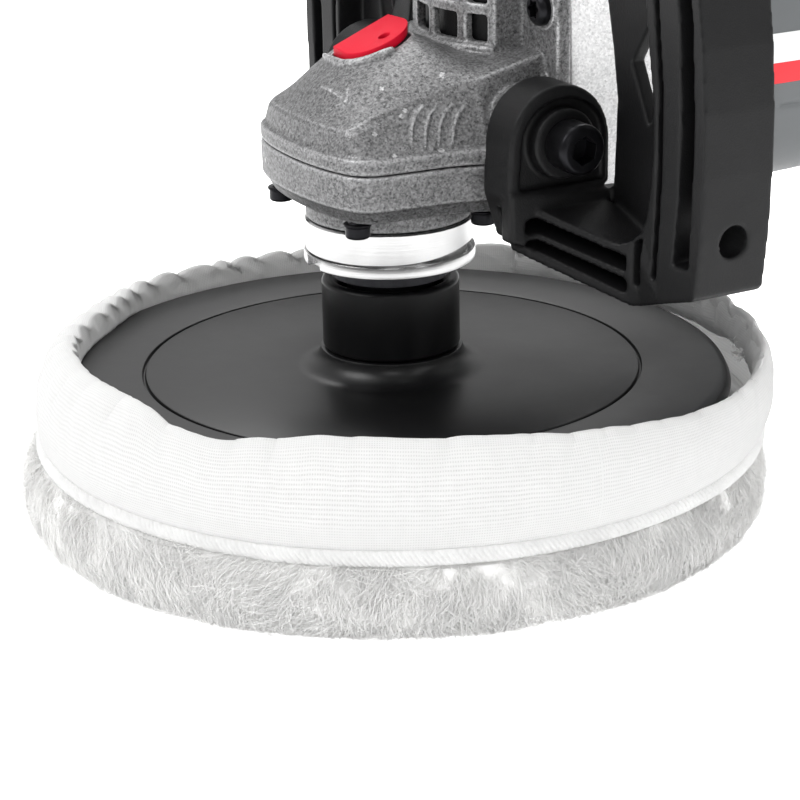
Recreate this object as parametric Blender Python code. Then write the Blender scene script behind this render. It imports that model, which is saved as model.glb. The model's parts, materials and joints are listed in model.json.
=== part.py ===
"""Rotary polisher: gear head, motor, loop handle and a pad with a wool bonnet, one object for each piece.

Frame: +Z up, the nose towards -Y, the motor towards +Y, +X the right-hand side.
The origin is on the spindle axis, in the plane of the wool's polishing face.
Sizes are in millimetres; every mesh is scaled to metres as it is made.
"""

import math

import bmesh
import bpy
from mathutils import Matrix, Vector

MM = 0.001
GAP = 0.3  # between pieces that touch

# Pad and bonnet
PAD_TOP = 37.0
PAD_RADIUS = 90.0
PLATE_THICK = 8.0
FOAM_BOTTOM = 11.0
SEAM_HEIGHT = 19.0
WOOL_RADIUS = 99.5
SKIRT_RADIUS = 98.0
HEM_TOP = 46.0
HUB_RADIUS = 18.2
HUB_BOTTOM = 42.9
HUB_TOP = 61.4

# Spindle line
THREAD_RADIUS = 7.0
FLANGE_BOTTOM = 62.4
FLANGE_TOP = 65.2
NECK_BOTTOM = 66.9
COLLAR_TOP = 78.3
BEARING_BOTTOM = 70.0
BEARING_TOP = 80.0
NECK_BORE = 15.0
SPINDLE_TOP = 110.0

# Gear head
BOX_BOTTOM = 84.0
SEAM = 97.0
LEDGE = 101.0
EAVE_FRONT = 107.2
GEAR_AXIS = 97.0  # height of the countershaft
MOTOR_AXIS = 113.0
FLANGE_Y = 32.5
FLANGE_HALF = 37.0
BOX_REAR = 22.2  # rear end of the bearing box
HEAD_REAR = 28.5  # where the head's upper body ends inside the flange block
LOCK_Y = -8.8  # lock pin, in front of the spindle
BUTTON_TRAVEL = 3.0
BUTTON_THICK = 3.2

# Motor and rear handle
FAN_HOUSING_END = 70.0
MOTOR_END = 186.0
MOTOR_RADIUS = 40.0
HANDLE_END = 330.0
GRIP_HALF = 17.0

# Loop handle
COLUMN_FRONT = 28.0
LEG_FRONT = 9.0
LOOP_DEPTH = 20.0
LOOP_TOP = 205.0
BOLT_Y = 21.5
BOLT_Z = 104.5


def clear_scene():
    for obj in list(bpy.data.objects):
        bpy.data.objects.remove(obj, do_unlink=True)


def material(name, colour, roughness, metallic=0.0):
    mat = bpy.data.materials.new(name)
    mat.use_nodes = True
    shader = mat.node_tree.nodes["Principled BSDF"]
    shader.inputs["Base Color"].default_value = (*colour, 1.0)
    shader.inputs["Roughness"].default_value = roughness
    shader.inputs["Metallic"].default_value = metallic
    return mat


def finish(name, bm, mat, pivot=(0, 0, 0), smooth=True):
    """Turns a bmesh in millimetres, placed in the object's frame, into an object whose origin is at pivot."""
    bmesh.ops.remove_doubles(bm, verts=bm.verts, dist=1e-4)
    bmesh.ops.recalc_face_normals(bm, faces=bm.faces)
    bm.transform(Matrix.Scale(MM, 4) @ Matrix.Translation(-Vector(pivot)))
    mesh = bpy.data.meshes.new(name)
    bm.to_mesh(mesh)
    bm.free()
    if smooth:
        mesh.shade_smooth()
        mesh.set_sharp_from_angle(angle=math.radians(35))
    if mat:
        mesh.materials.append(mat)
    obj = bpy.data.objects.new(name, mesh)
    obj.location = Vector(pivot) * MM
    bpy.context.collection.objects.link(obj)
    return obj


def helper(obj):
    obj.hide_render = True
    obj.display_type = "WIRE"
    return obj


def boolean(obj, other, operation="DIFFERENCE", solver="EXACT"):
    modifier = obj.modifiers.new(other.name, "BOOLEAN")
    modifier.solver = solver
    modifier.operation = operation
    modifier.object = helper(other)
    return obj


def carve(obj, other, operation="DIFFERENCE"):
    """A Boolean for the two housings: their many crossing bores are left open by the exact solver."""
    return boolean(obj, other, operation, "MANIFOLD")


def place(axis, centre):
    """The matrix that takes a shape made along +Z at the origin to one along axis at centre."""
    turn = Vector((0, 0, 1)).rotation_difference(Vector(axis)).to_matrix().to_4x4()
    return Matrix.Translation(Vector(centre)) @ turn


def turned_mesh(profile, steps, axis=(0, 0, 1), centre=(0, 0, 0), wobble=None):
    """A closed body of revolution. profile is (radius, height) points; one that starts and ends at 0 is solid."""
    bm = bmesh.new()
    rings = []
    for radius, height in profile:
        if radius < 1e-6:
            rings.append([bm.verts.new((0, 0, height))])
            continue
        ring = []
        for i in range(steps):
            angle = 2 * math.pi * i / steps
            r = radius * (wobble(angle) if wobble else 1)
            ring.append(bm.verts.new((r * math.cos(angle), r * math.sin(angle), height)))
        rings.append(ring)
    pairs = list(zip(rings, rings[1:]))
    if profile[0][0] > 0:
        pairs.append((rings[-1], rings[0]))
    for low, high in pairs:
        for i in range(steps):
            j = (i + 1) % steps
            corners = [low[i % len(low)], low[j % len(low)], high[j % len(high)], high[i % len(high)]]
            corners = list(dict.fromkeys(corners))
            if len(corners) > 2:
                bm.faces.new(corners)
    bm.transform(place(axis, centre))
    return bm


def turned(name, profile, mat, steps=24, axis=(0, 0, 1), centre=(0, 0, 0), pivot=(0, 0, 0)):
    return finish(name, turned_mesh(profile, steps, axis, centre), mat, pivot)


def rod(name, radius, start, length, mat=None, steps=20, axis=(0, 0, 1), pivot=(0, 0, 0)):
    profile = [(0, 0), (radius, 0), (radius, length), (0, length)]
    return turned(name, profile, mat, steps, axis, start, pivot)


def tube(name, inner, outer, start, length, mat, steps=20, axis=(0, 0, 1), pivot=(0, 0, 0)):
    profile = [(inner, 0), (outer, 0), (outer, length), (inner, length)]
    return turned(name, profile, mat, steps, axis, start, pivot)


def loft_mesh(sections):
    """A closed body through rings of points that have equal counts; the two end rings are capped."""
    bm = bmesh.new()
    rings = [[bm.verts.new(point) for point in section] for section in sections]
    for low, high in zip(rings, rings[1:]):
        for i in range(len(low)):
            j = (i + 1) % len(low)
            bm.faces.new((low[i], low[j], high[j], high[i]))
    bmesh.ops.triangulate(bm, faces=bm.faces[:])
    bm.faces.new(rings[0][::-1])
    bm.faces.new(rings[-1])
    return bm


def prism(name, outline, low, high, plane, mat=None, pivot=(0, 0, 0)):
    """An outline in the XY, XZ or YZ plane, extruded along the third axis."""
    def point(u, v, w):
        return {"XY": (u, v, w), "XZ": (u, w, v), "YZ": (w, u, v)}[plane]
    sections = [[point(u, v, w) for u, v in outline] for w in (low, high)]
    return finish(name, loft_mesh(sections), mat, pivot)


def box(name, low, high, mat=None, pivot=(0, 0, 0)):
    outline = [(low[0], low[1]), (high[0], low[1]), (high[0], high[1]), (low[0], high[1])]
    return prism(name, outline, low[2], high[2], "XY", mat, pivot)


def rounded(x0, y0, x1, y1, radius, steps=4):
    """The outline of a rectangle with round corners."""
    points = []
    corners = ((x1, y1, 0), (x0, y1, 90), (x0, y0, 180), (x1, y0, 270))
    for x, y, turn in corners:
        cx = x - radius if x == x1 else x + radius
        cy = y - radius if y == y1 else y + radius
        for i in range(steps + 1):
            angle = math.radians(turn + 90 * i / steps)
            points.append((cx + radius * math.cos(angle), cy + radius * math.sin(angle)))
    return points


def mirrored(outline):
    """A half outline on the +X side, from the front of the centre line to the rear, made whole."""
    return outline + [(-x, y) for x, y in reversed(outline) if x > 1e-6]


# ---- Pad and bonnet ----

def make_pad(mats):
    top, bottom = PAD_TOP, PAD_TOP - PLATE_THICK
    plate = [(THREAD_RADIUS + 1, bottom), (86, bottom), (89, bottom + 2), (PAD_RADIUS, top - 4), (88.5, top - 0.8),
             (86.5, top), (24.5, top), (21.5, top + 1.2), (19.4, top + 3.4), (18.9, top + 5.6),
             (THREAD_RADIUS + 1, top + 5.6)]
    turned("backing_pad", plate, mats["pad"], 40)
    foam = [(10, FOAM_BOTTOM), (84, FOAM_BOTTOM), (88, FOAM_BOTTOM + 4), (88, bottom - GAP), (10, bottom - GAP)]
    turned("pad_foam", foam, mats["foam"], 24)
    hub = [(THREAD_RADIUS + GAP, HUB_BOTTOM), (HUB_RADIUS, HUB_BOTTOM), (HUB_RADIUS, HUB_TOP - 0.6),
           (HUB_RADIUS - 0.6, HUB_TOP), (15.4, HUB_TOP), (13.6, HUB_TOP - 2.4), (13.6, 53), (THREAD_RADIUS + GAP, 53)]
    turned("pad_hub", hub, mats["hub"], 32)


def make_bonnet(mats):
    skirt = [(91.2, SEAM_HEIGHT + 1), (94.5, SEAM_HEIGHT), (SKIRT_RADIUS - 1, SEAM_HEIGHT + 4), (SKIRT_RADIUS, 30),
             (SKIRT_RADIUS - 1.5, 39), (93, HEM_TOP - 1), (88, HEM_TOP), (82, HEM_TOP - 1.5), (82, HEM_TOP - 4),
             (88, HEM_TOP - 3.4), (91.6, 40), (91.8, 30)]
    turned("bonnet_skirt", skirt, mats["cloth"], 30)
    cord = [(84.6 + 1.4 * math.cos(a), 39.4 + 1.4 * math.sin(a)) for a in [math.pi * k / 3 for k in range(6)]]
    turned("hem_elastic", cord, mats["elastic"], 30)
    wool = [(0, 0), (88, 0), (95.5, 1.6), (WOOL_RADIUS, 6), (WOOL_RADIUS - 0.5, 13), (96, SEAM_HEIGHT - GAP),
            (89, SEAM_HEIGHT - GAP), (89, FOAM_BOTTOM - GAP), (0, FOAM_BOTTOM - GAP)]
    turned("wool_pile", wool, mats["wool"], 36)


# ---- Spindle ----

def gear_mesh(teeth, root, tip, height, bore, taper=1.0, axis=(0, 0, 1), centre=(0, 0, 0)):
    """A toothed ring: four points a tooth, with its far end scaled by taper about the axis."""
    bm = bmesh.new()
    rows = []
    for scale, z in ((1, 0), (taper, height)):
        outer, inner = [], []
        for i in range(4 * teeth):
            angle = 2 * math.pi * i / (4 * teeth)
            radius = scale * (tip if i % 4 < 2 else root)
            outer.append(bm.verts.new((radius * math.cos(angle), radius * math.sin(angle), z)))
            inner.append(bm.verts.new((bore * math.cos(angle), bore * math.sin(angle), z)))
        rows.append((outer, inner))
    (outer_low, inner_low), (outer_high, inner_high) = rows
    for i in range(4 * teeth):
        j = (i + 1) % (4 * teeth)
        bm.faces.new((outer_low[i], outer_low[j], outer_high[j], outer_high[i]))
        bm.faces.new((inner_low[i], inner_low[j], inner_high[j], inner_high[i]))
        bm.faces.new((outer_low[i], outer_low[j], inner_low[j], inner_low[i]))
        bm.faces.new((outer_high[i], outer_high[j], inner_high[j], inner_high[i]))
    bm.transform(place(axis, centre))
    return bm


def make_spindle(mats):
    profile = [(0, 44), (6, 44), (THREAD_RADIUS, 45), (THREAD_RADIUS, 54), (11.5, 54), (11.5, FLANGE_BOTTOM),
               (15.6, FLANGE_BOTTOM), (15.6, FLANGE_TOP), (8.5, FLANGE_TOP), (8.5, BEARING_BOTTOM - GAP),
               (6, BEARING_BOTTOM - GAP), (6, 84), (5, 84), (5, 102), (4, 102), (4, SPINDLE_TOP), (0, SPINDLE_TOP)]
    turned("spindle", profile, mats["dark_steel"], 28)
    ring = finish("ring_gear", gear_mesh(20, 18.2, 19.4, 5.2, 5 + GAP, 0.93, centre=(0, 0, 84.9)), mats["steel"])
    for i in range(4):
        angle = math.radians(90 * i)
        centre = (LOCK_Y * math.sin(angle), LOCK_Y * math.cos(angle), 80)
        boolean(ring, rod(f"lock_hole_cutter_{i}", 2.3, centre, 20, steps=10))
    bearing = [(6 + GAP, BEARING_BOTTOM), (NECK_BORE - GAP, BEARING_BOTTOM), (NECK_BORE - GAP, BEARING_TOP),
               (6 + GAP, BEARING_TOP)]
    turned("spindle_ball_bearing", bearing, mats["steel"])
    tube("spindle_needle_bearing", 4 + GAP, 6.2, (0, 0, 103.2), 7.5, mats["steel"], 20)


def make_collar(mats):
    inner = 17 + GAP
    profile = [(inner, NECK_BOTTOM), (21.4, NECK_BOTTOM), (21.9, NECK_BOTTOM + 0.6), (21.9, 69.4), (20.6, 69.8),
               (20.6, 71.2), (21.2, 71.6), (21.2, COLLAR_TOP), (inner, COLLAR_TOP)]
    collar = turned("guard_collar", profile, mats["bright_steel"], 36)
    notch = box("collar_notch_cutter", (-22.5, -14.5, 67.4), (-18.6, -8, 71.4))
    boolean(collar, notch)


# ---- Gear head ----

def plan_outline():
    """The gear head from above: bulged front, round front corners and sides that flare towards the ears."""
    half = [(0, -28.3), (8, -28), (16, -27), (22.5, -25.3), (25.6, -23.9), (28, -21.6), (29.4, -18.3), (30, -13),
            (30.5, -7.6), (31.2, 0.6), (33.2, 8), (34.6, 12), (35, BOX_REAR)]
    return half


def inset_outline(half, amount):
    """The half outline moved inwards, with its first point kept on the centre line."""
    moved = []
    for i, (x, y) in enumerate(half):
        before = half[i - 1] if i else (-half[1][0], half[1][1])
        after = half[min(i + 1, len(half) - 1)]
        along = Vector((after[0] - before[0], after[1] - before[1])).normalized()
        moved.append((x - amount * along.y if i else 0, y + amount * along.x))
    return moved


def make_bearing_box(mats):
    half = plan_outline()
    rings = ((BOX_BOTTOM, 2.4), (BOX_BOTTOM + 2.2, 0.4), (SEAM - GAP, 0.0))
    sections = [[(x, y, z) for x, y in mirrored(inset_outline(half, inset))] for z, inset in rings]
    case = finish("bearing_box", loft_mesh(sections), mats["casting"])
    neck = [(0, NECK_BOTTOM), (17, NECK_BOTTOM), (17, COLLAR_TOP + GAP), (21.8, COLLAR_TOP + GAP), (21.8, 86), (0, 86)]
    boolean(case, turned("bearing_neck", neck, None, 32), "UNION")
    bore = [(0, 60), (10, 60), (10, BEARING_BOTTOM - GAP), (NECK_BORE, BEARING_BOTTOM - GAP),
            (NECK_BORE, 84.4), (20.4, 84.4), (20.4, 98), (0, 98)]
    boolean(case, turned("bearing_bore_cutter", bore, None, 28))
    boolean(case, rod("bearing_pinion_cutter", 8.6, (0, 4, GEAR_AXIS), 24, axis=(0, 1, 0)))
    for i, (x, y) in enumerate(BOX_SCREWS):
        boolean(case, rod(f"box_screw_cutter_{i}", 2.6, (x, y, 80), 30, steps=12))


BOX_SCREWS = ((21.4, -20.6), (-21.4, -20.6), (27.2, 12.5), (-27.2, 12.5))


def make_box_screws(mats):
    for i, (x, y) in enumerate(BOX_SCREWS):
        low = BOX_BOTTOM - GAP - 3.2
        profile = [(0, low), (3.4, low), (4.1, low + 1), (4.1, low + 3.2), (2.2, low + 3.2), (2.2, 104), (0, 104)]
        turned(f"bearing_box_screw_{i + 1}", profile, mats["black_steel"], 16, centre=(x, y, 0), pivot=(x, y, low))


def eave_height(y):
    """Height of the edge between wall and roof, rising from the nose to the flange."""
    t = max(0.0, y + 23.4)
    return EAVE_FRONT + 0.27 * t - 0.0012 * t * t


def roof_height(x, y, half_width, front):
    """The crowned roof: highest over the lock button, falling to the eave at the sides and to the vent cage."""
    rise = 13.0 * (1 - math.exp(-(max(0.0, y - front) / 9.4) ** 1.4))
    back = min(1.0, max(0.0, (y - 2) / 14))
    rise *= 1 - 0.5 * back * back * (3 - 2 * back)
    return eave_height(y) + rise * (1 - min(1.0, abs(x) / half_width) ** 1.9)


def eave_outline():
    half = [(0, -26), (7, -25.8), (14, -25), (19, -23.9), (21.2, -23.2), (22.3, -21), (22.7, -17.5), (23.4, -13),
            (24.4, -7.6), (26.4, 0.6), (28.4, 8), (29.4, 12), (30.4, HEAD_REAR)]
    return half


def head_mesh():
    """The upper gear head as walls, a roof of shrinking rings and a flat underside at the seam."""
    outer = plan_outline()[:-1] + [(35, HEAD_REAR)]
    eave = eave_outline()
    sections = [[(x, y, z) for x, y in mirrored(outer)] for z in (SEAM, LEDGE)]
    sections.append([(x, y, LEDGE + 0.7) for x, y in mirrored(inset_outline(outer, 0.9))])
    sections.append([(x, y, eave_height(y)) for x, y in mirrored(eave)])
    front = {i: eave[i][1] for i in range(len(eave))}
    for share in (0.85, 0.65, 0.4, 0.15):
        ring = []
        for i, (x, y) in enumerate(eave):
            spine = min(max(y, -12.0), 14.0)
            px, py = share * x, spine + share * (y - spine)
            half_width = 21.5 + 0.2 * max(0.0, py + 23.4)
            ring.append((px, py, roof_height(px, py, half_width, front[min(i, 4)])))
        sections.append(ring + [(-x, y, z) for x, y, z in reversed(ring) if x > 1e-6])
    return loft_mesh(sections)


def cage_outline(inset):
    """The vent cage from above: a bulged front between flat sides."""
    half = 20.5 - inset
    points = []
    for i in range(9):
        x = -half + 2 * half * i / 8
        points.append((x, 13.2 + inset + 7 * (x / 20.5) ** 2))
    return [(-half, FLANGE_Y - 1)] + points + [(half, FLANGE_Y - 1)]


def make_gear_housing(mats):
    case = finish("gear_housing", head_mesh(), mats["casting"])
    cage = prism("cage", cage_outline(0), 108, 149, "XY")
    flange = prism("flange", rounded(-FLANGE_HALF, 75, FLANGE_HALF, 151, 14), FLANGE_Y - 4, FLANGE_Y, "XZ")
    for other in (cage, flange):
        carve(case, other, "UNION")
    low_block = prism("low_block", rounded(-26, 78, 26, 120, 8), BOX_REAR + GAP, FLANGE_Y - 1, "XZ")
    carve(case, low_block, "UNION")
    for side in (-1, 1):
        low, high = sorted((side * 26, side * 37.3))
        carve(case, prism(f"ear_boss_{side}", rounded(12, SEAM, 27.4, 115.5, 4), low, high, "YZ"), "UNION")
    cut_gear_housing(case)


def cut_gear_housing(case):
    chamber = [(0, 90), (20.4, 90), (20.4, 102.8), (6.5, 102.8), (6.5, 111.5), (0, 111.5)]
    carve(case, turned("chamber_cutter", chamber, None, 28))
    gears = [(0, 4), (8.6, 4), (8.6, 23), (12.4, 23), (12.4, 37), (0, 37)]
    carve(case, turned("gear_cutter", gears, None, 30, (0, 1, 0), (0, 0, GEAR_AXIS)))
    pinion = rod("motor_pinion_cutter", 6.2, (0, 21, MOTOR_AXIS), 17, steps=24, axis=(0, 1, 0))
    carve(case, pinion)
    carve(case, prism("cage_hollow_cutter", cage_outline(2.2), 123.5, 145.5, "XY"))
    outlet = box("cage_outlet_cutter", (-18, 24, 123.9), (18, 37, 145.1))
    carve(case, outlet)
    for i, (low, high) in enumerate(CAGE_WINDOWS):
        for k, z in enumerate((124.2, 133.9)):
            carve(case, box(f"window_cutter_{i}_{k}", (low, 10, z), (high, 26, z + 6.9)))
    carve(case, tilted_button("button_pocket_cutter", -BUTTON_THICK - BUTTON_TRAVEL - 1.6, 6.0, 0.7))
    pin_bore = [(0, 95), (2.2, 95), (2.2, 112.2), (3.6, 112.2), (3.6, 125), (0, 125)]
    carve(case, turned("lock_pin_cutter", pin_bore, None, 16, centre=(0, LOCK_Y, 0)))
    for i, (x, y) in enumerate(BOX_SCREWS):
        carve(case, rod(f"tapped_cutter_{i}", 2.6, (x, y, 90), 14.6, steps=12))
    for i, (x, z) in enumerate(FLANGE_SCREWS):
        carve(case, rod(f"flange_cutter_{i}", 2.9, (x, 20, z), 18, steps=12, axis=(0, 1, 0)))
    for side in (-1, 1):
        hole = rod(f"ear_cutter_{side}", 4.4, (side * 22.6, BOLT_Y, BOLT_Z), 18, steps=16, axis=(side, 0, 0))
        carve(case, hole)


CAGE_WINDOWS = ((-18.6, -13), (-10.4, -1.1), (1.1, 10.4), (13, 18.6))
FLANGE_SCREWS = ((31, 134), (-31, 134), (31, 79.5), (-31, 79.5))


def make_flange_screws(mats):
    for i, (x, z) in enumerate(FLANGE_SCREWS):
        front = FLANGE_Y - 4 - GAP
        profile = [(0, -3.2), (3.3, -3.2), (4.3, -2.2), (4.3, 0), (2.4, 0), (2.4, 10.5), (0, 10.5)]
        turned(f"flange_screw_{i + 1}", profile, mats["black_steel"], 16, (0, 1, 0), (x, front, z), (x, front, z))


# ---- Spindle lock ----

BUTTON_TILT = math.radians(22)
BUTTON_CENTRE = (0.4, -2.8, 125.3)  # middle of the button's top face


def tilted_button(name, low, high, grow, mat=None, pivot=(0, 0, 0)):
    """The D-shaped button plan, flat on its -X side, drawn down from a sloping top; low and high are offsets from it."""
    outline = [(-7.6 - grow, 7.6 + grow), (-7.6 - grow, -8.5 - grow)]
    for i in range(9):
        angle = math.radians(-90 + 22.5 * i)
        outline.append(((8.3 + grow) * math.cos(angle), (8.6 + grow) * math.sin(angle) - 0.6))
    slope = math.tan(BUTTON_TILT)
    cx, cy, cz = BUTTON_CENTRE
    sections = [[(cx + x, cy + y, cz + slope * y + offset) for x, y in outline] for offset in (low, high)]
    return finish(name, loft_mesh(sections), mat, pivot)


def make_lock(mats):
    home = (0, LOCK_Y, 118)
    button = tilted_button("lock_button", -BUTTON_THICK, 0.0, 0.0, mats["red"], home)
    boolean(button, rod("button_hole_cutter", 1.3, (3.2, 3.0, 120), 20, steps=12))
    rod("lock_pin", 1.8, (0, LOCK_Y, 90.7), 27.4, mats["steel"], 12, pivot=home)
    make_spring("lock_spring", mats["steel"], (0, LOCK_Y), 112.8, 117.8, 2.7)


def make_spring(name, mat, centre, low, high, radius):
    curve = bpy.data.curves.new(name, "CURVE")
    curve.dimensions = "3D"
    curve.bevel_depth = 0.3 * MM
    curve.bevel_resolution = 1
    curve.use_fill_caps = True
    spline = curve.splines.new("POLY")
    turns, steps = 3, 12
    count = turns * steps + 1
    spline.points.add(count - 1)
    for i in range(count):
        angle = 2 * math.pi * i / steps
        height = low + (high - low) * i / (count - 1)
        point = (radius * math.cos(angle) * MM, radius * math.sin(angle) * MM, (height - low) * MM, 1)
        spline.points[i].co = point
    curve.materials.append(mat)
    obj = bpy.data.objects.new(name, curve)
    obj.location = Vector((centre[0], centre[1], low)) * MM
    bpy.context.collection.objects.link(obj)


# ---- Countershaft and motor ----

def make_countershaft(mats):
    axis, home = (0, 1, 0), (0, 9, GEAR_AXIS)
    profile = [(0, 9), (3.4, 9), (3.9, 10.4), (6.6, 18.6), (4, 18.6), (4, 34.6), (0, 34.6)]
    turned("countershaft", profile, mats["steel"], 24, axis, (0, 0, GEAR_AXIS), home)
    gear = gear_mesh(16, 10.2, 11.3, 4.2, 4 + GAP, axis=axis, centre=(0, 23.8, GEAR_AXIS))
    finish("reduction_gear", gear, mats["steel"], home)
    tube("countershaft_bearing_front", 4 + GAP, 8, (0, 19.4, GEAR_AXIS), 3.2, mats["steel"], 24, axis)
    tube("countershaft_bearing_rear", 4 + GAP, 7.4, (0, 30.4, GEAR_AXIS), 4.3, mats["steel"], 24, axis)


def make_armature(mats):
    axis, home = (0, 1, 0), (0, 30, MOTOR_AXIS)
    teeth = gear_mesh(6, 3.2, 4.2, 6, 1.0, axis=axis, centre=(0, 22.6, MOTOR_AXIS))
    shaft = [(0, 23), (2.6, 23), (2.6, 30), (5, 30), (5, 171), (0, 171)]
    armature = turned("armature_shaft", shaft, mats["steel"], 24, axis, (0, 0, MOTOR_AXIS), home)
    boolean(armature, finish("motor_pinion", teeth, None), "UNION")
    core = [(5 + GAP, 84), (21.5, 84), (21.5, 124), (5 + GAP, 124)]
    turned("armature_core", core, mats["dark_steel"], 24, axis, (0, 0, MOTOR_AXIS), home)
    turned("commutator", [(5 + GAP, 136), (12.5, 136), (12.5, 152), (5 + GAP, 152)], mats["copper"], 24, axis,
           (0, 0, MOTOR_AXIS), home)
    blades = gear_mesh(10, 14, 31, 7, 5 + GAP, axis=axis, centre=(0, 48, MOTOR_AXIS))
    finish("cooling_fan", blades, mats["grey_plastic"], home)
    tube("armature_bearing_front", 5 + GAP, 9.6, (0, 36.4, MOTOR_AXIS), 6, mats["steel"], 24, axis)
    tube("armature_bearing_rear", 5 + GAP, 9.6, (0, 162, MOTOR_AXIS), 6, mats["steel"], 24, axis)


def make_stator(mats):
    bore = [(22.6, 82), (35.6, 82), (35.6, 126), (22.6, 126)]
    turned("field_stator", bore, mats["dark_steel"], 28, (0, 1, 0), (0, 0, MOTOR_AXIS))
    for side, word in ((1, "right"), (-1, "left")):
        along = (side, 0, 0)
        start = (side * 14.2, 144, MOTOR_AXIS)
        holder = box(f"brush_holder_{word}", *span(side, 14.2, 33, 138, 150, MOTOR_AXIS - 6, MOTOR_AXIS + 6), mats["brass"])
        boolean(holder, box(f"holder_cutter_{word}",
                            *span(side, 10, 36, 140, 148, MOTOR_AXIS - 4, MOTOR_AXIS + 4)))
        box(f"carbon_brush_{word}", *span(side, 13, 28, 140.3, 147.7, MOTOR_AXIS - 3.7, MOTOR_AXIS + 3.7),
            mats["carbon"])
        rod(f"brush_cap_{word}", 7, (side * 36.4, start[1], MOTOR_AXIS), 4, mats["black_plastic"], 20, along)


def span(side, x0, x1, y0, y1, z0, z1):
    """The low and high corners of a box given on the +X side, or mirrored to the -X side."""
    xs = sorted((side * x0, side * x1))
    return (xs[0], y0, z0), (xs[1], y1, z1)


def casing_section(y, half, squareness, steps=32):
    """A ring about the motor axis: a circle at squareness 2, closer to a square above it."""
    ring = []
    for i in range(steps):
        angle = 2 * math.pi * i / steps
        c, n = (math.cos(angle), math.sin(angle)), squareness
        radius = half / (abs(c[0]) ** n + abs(c[1]) ** n) ** (1 / n)
        ring.append((radius * c[0], y, MOTOR_AXIS + radius * c[1]))
    return ring


def make_fan_housing(mats):
    axis = (0, 1, 0)
    shape = ((FLANGE_Y + GAP, 37, 5), (38, 37.2, 4.2), (46, 38.6, 3), (56, 39.8, 2.3), (FAN_HOUSING_END, 40, 2))
    sections = [casing_section(*values) for values in shape]
    case = finish("fan_housing", loft_mesh(sections), mats["casting_bright"])
    chamber = [(0, 44), (13, 44), (13, 40), (35.4, 40), (36, 48), (36, 72), (0, 72)]
    carve(case, turned("fan_chamber_cutter", chamber, None, 24, axis, (0, 0, MOTOR_AXIS)))
    bore = [(0, 20), (6, 20), (6, 36), (9.9, 36), (9.9, 50), (0, 50)]
    carve(case, turned("fan_bearing_cutter", bore, None, 24, axis, (0, 0, MOTOR_AXIS)))
    carve(case, rod("fan_counter_cutter", 7.7, (0, 20, GEAR_AXIS), 15, steps=24, axis=axis))
    carve(case, prism("fan_slot_cutter", rounded(-17, 127, 17, 144, 4), 20, 46, "XZ"))
    for i, (x, z) in enumerate(FLANGE_SCREWS):
        carve(case, rod(f"fan_tapped_{i}", 2.7, (x, 20, z), 19, steps=12, axis=axis))


def make_motor_housing(mats):
    axis, centre = (0, 1, 0), (0, 0, MOTOR_AXIS)
    front = FAN_HOUSING_END + GAP
    profile = [(36, front), (MOTOR_RADIUS, front), (MOTOR_RADIUS, 100), (39, 130), (38, 160), (34, MOTOR_END),
               (5, MOTOR_END), (5, 175), (6.2, 175), (6.2, 168.4), (9.9, 168.4), (9.9, 161.6), (13, 161.6),
               (13, 172), (33.5, 172), (35.8, 158)]
    case = turned("motor_housing", profile, mats["grey_plastic"], 30, axis, centre)
    for side in (1, -1):
        boolean(case, rod(f"cap_cutter_{side}", 7.3, (side * 30, 144, MOTOR_AXIS), 14, steps=20, axis=(side, 0, 0)))


# ---- Rear handle ----

def handle_outline():
    """The rear handle from the side: a top grip on the motor line, closed below by a bow."""
    top = [(MOTOR_END + GAP, 148), (205, 147), (222, 141), (300, 138), (318, 134), (HANDLE_END, 120)]
    rear = [(HANDLE_END, 74), (326, 62), (316, 56)]
    low = [(230, 52), (200, 62), (MOTOR_END + GAP, 80)]
    return top + rear + low


def finger_outline():
    return rounded(212, 70, 306, 106, 12, 4)


def make_rear_handle(mats):
    for side, word in ((1, "right"), (-1, "left")):
        xs = sorted((side * GAP / 2, side * GRIP_HALF))
        shell = prism(f"rear_handle_{word}", handle_outline(), xs[0], xs[1], "YZ", mats["black_plastic"])
        boolean(shell, prism(f"finger_cutter_{word}", finger_outline(), -40, 40, "YZ"))
        hollow = sorted((side * -1, side * 13.5))
        boolean(shell, prism(f"switch_cutter_{word}", rounded(206, 104, 292, 134, 4, 2), hollow[0], hollow[1], "YZ"))
        for i, (y, z) in enumerate(HANDLE_SCREWS):
            boolean(shell, rod(f"shell_cutter_{word}_{i}", 2.6, (-30, y, z), 60, steps=12, axis=(1, 0, 0)))
            head = rod(f"head_cutter_{word}_{i}", 4.6, (GRIP_HALF - 3.5, y, z), 10, steps=16, axis=(1, 0, 0))
            if side > 0:
                boolean(shell, head)
            else:
                bpy.data.objects.remove(head)
        if side < 0:
            boolean(shell, rod("lock_on_cutter", 5.4, (-24, 226, 122), 16, steps=20, axis=(1, 0, 0)))
        boolean(shell, rod(f"inlet_cutter_{word}", 5.6, (0, 290, 127), 60, steps=16, axis=(0, 1, 0)))
        boolean(shell, rod(f"dial_cutter_{word}", 9.4, (-4.6, 276, 137), 9.2, steps=24, axis=(1, 0, 0)))
    for i, (y, z) in enumerate(HANDLE_SCREWS):
        profile = [(0, 3.1), (4, 3.1), (4, 0), (2.2, 0), (2.2, -26), (0, -26)]
        start = (GRIP_HALF - 3.5 + GAP, y, z)
        turned(f"handle_screw_{i + 1}", profile[::-1], mats["black_steel"], 16, (1, 0, 0), start, start)


HANDLE_SCREWS = ((200, 90), (318, 110), (262, 60))


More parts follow.
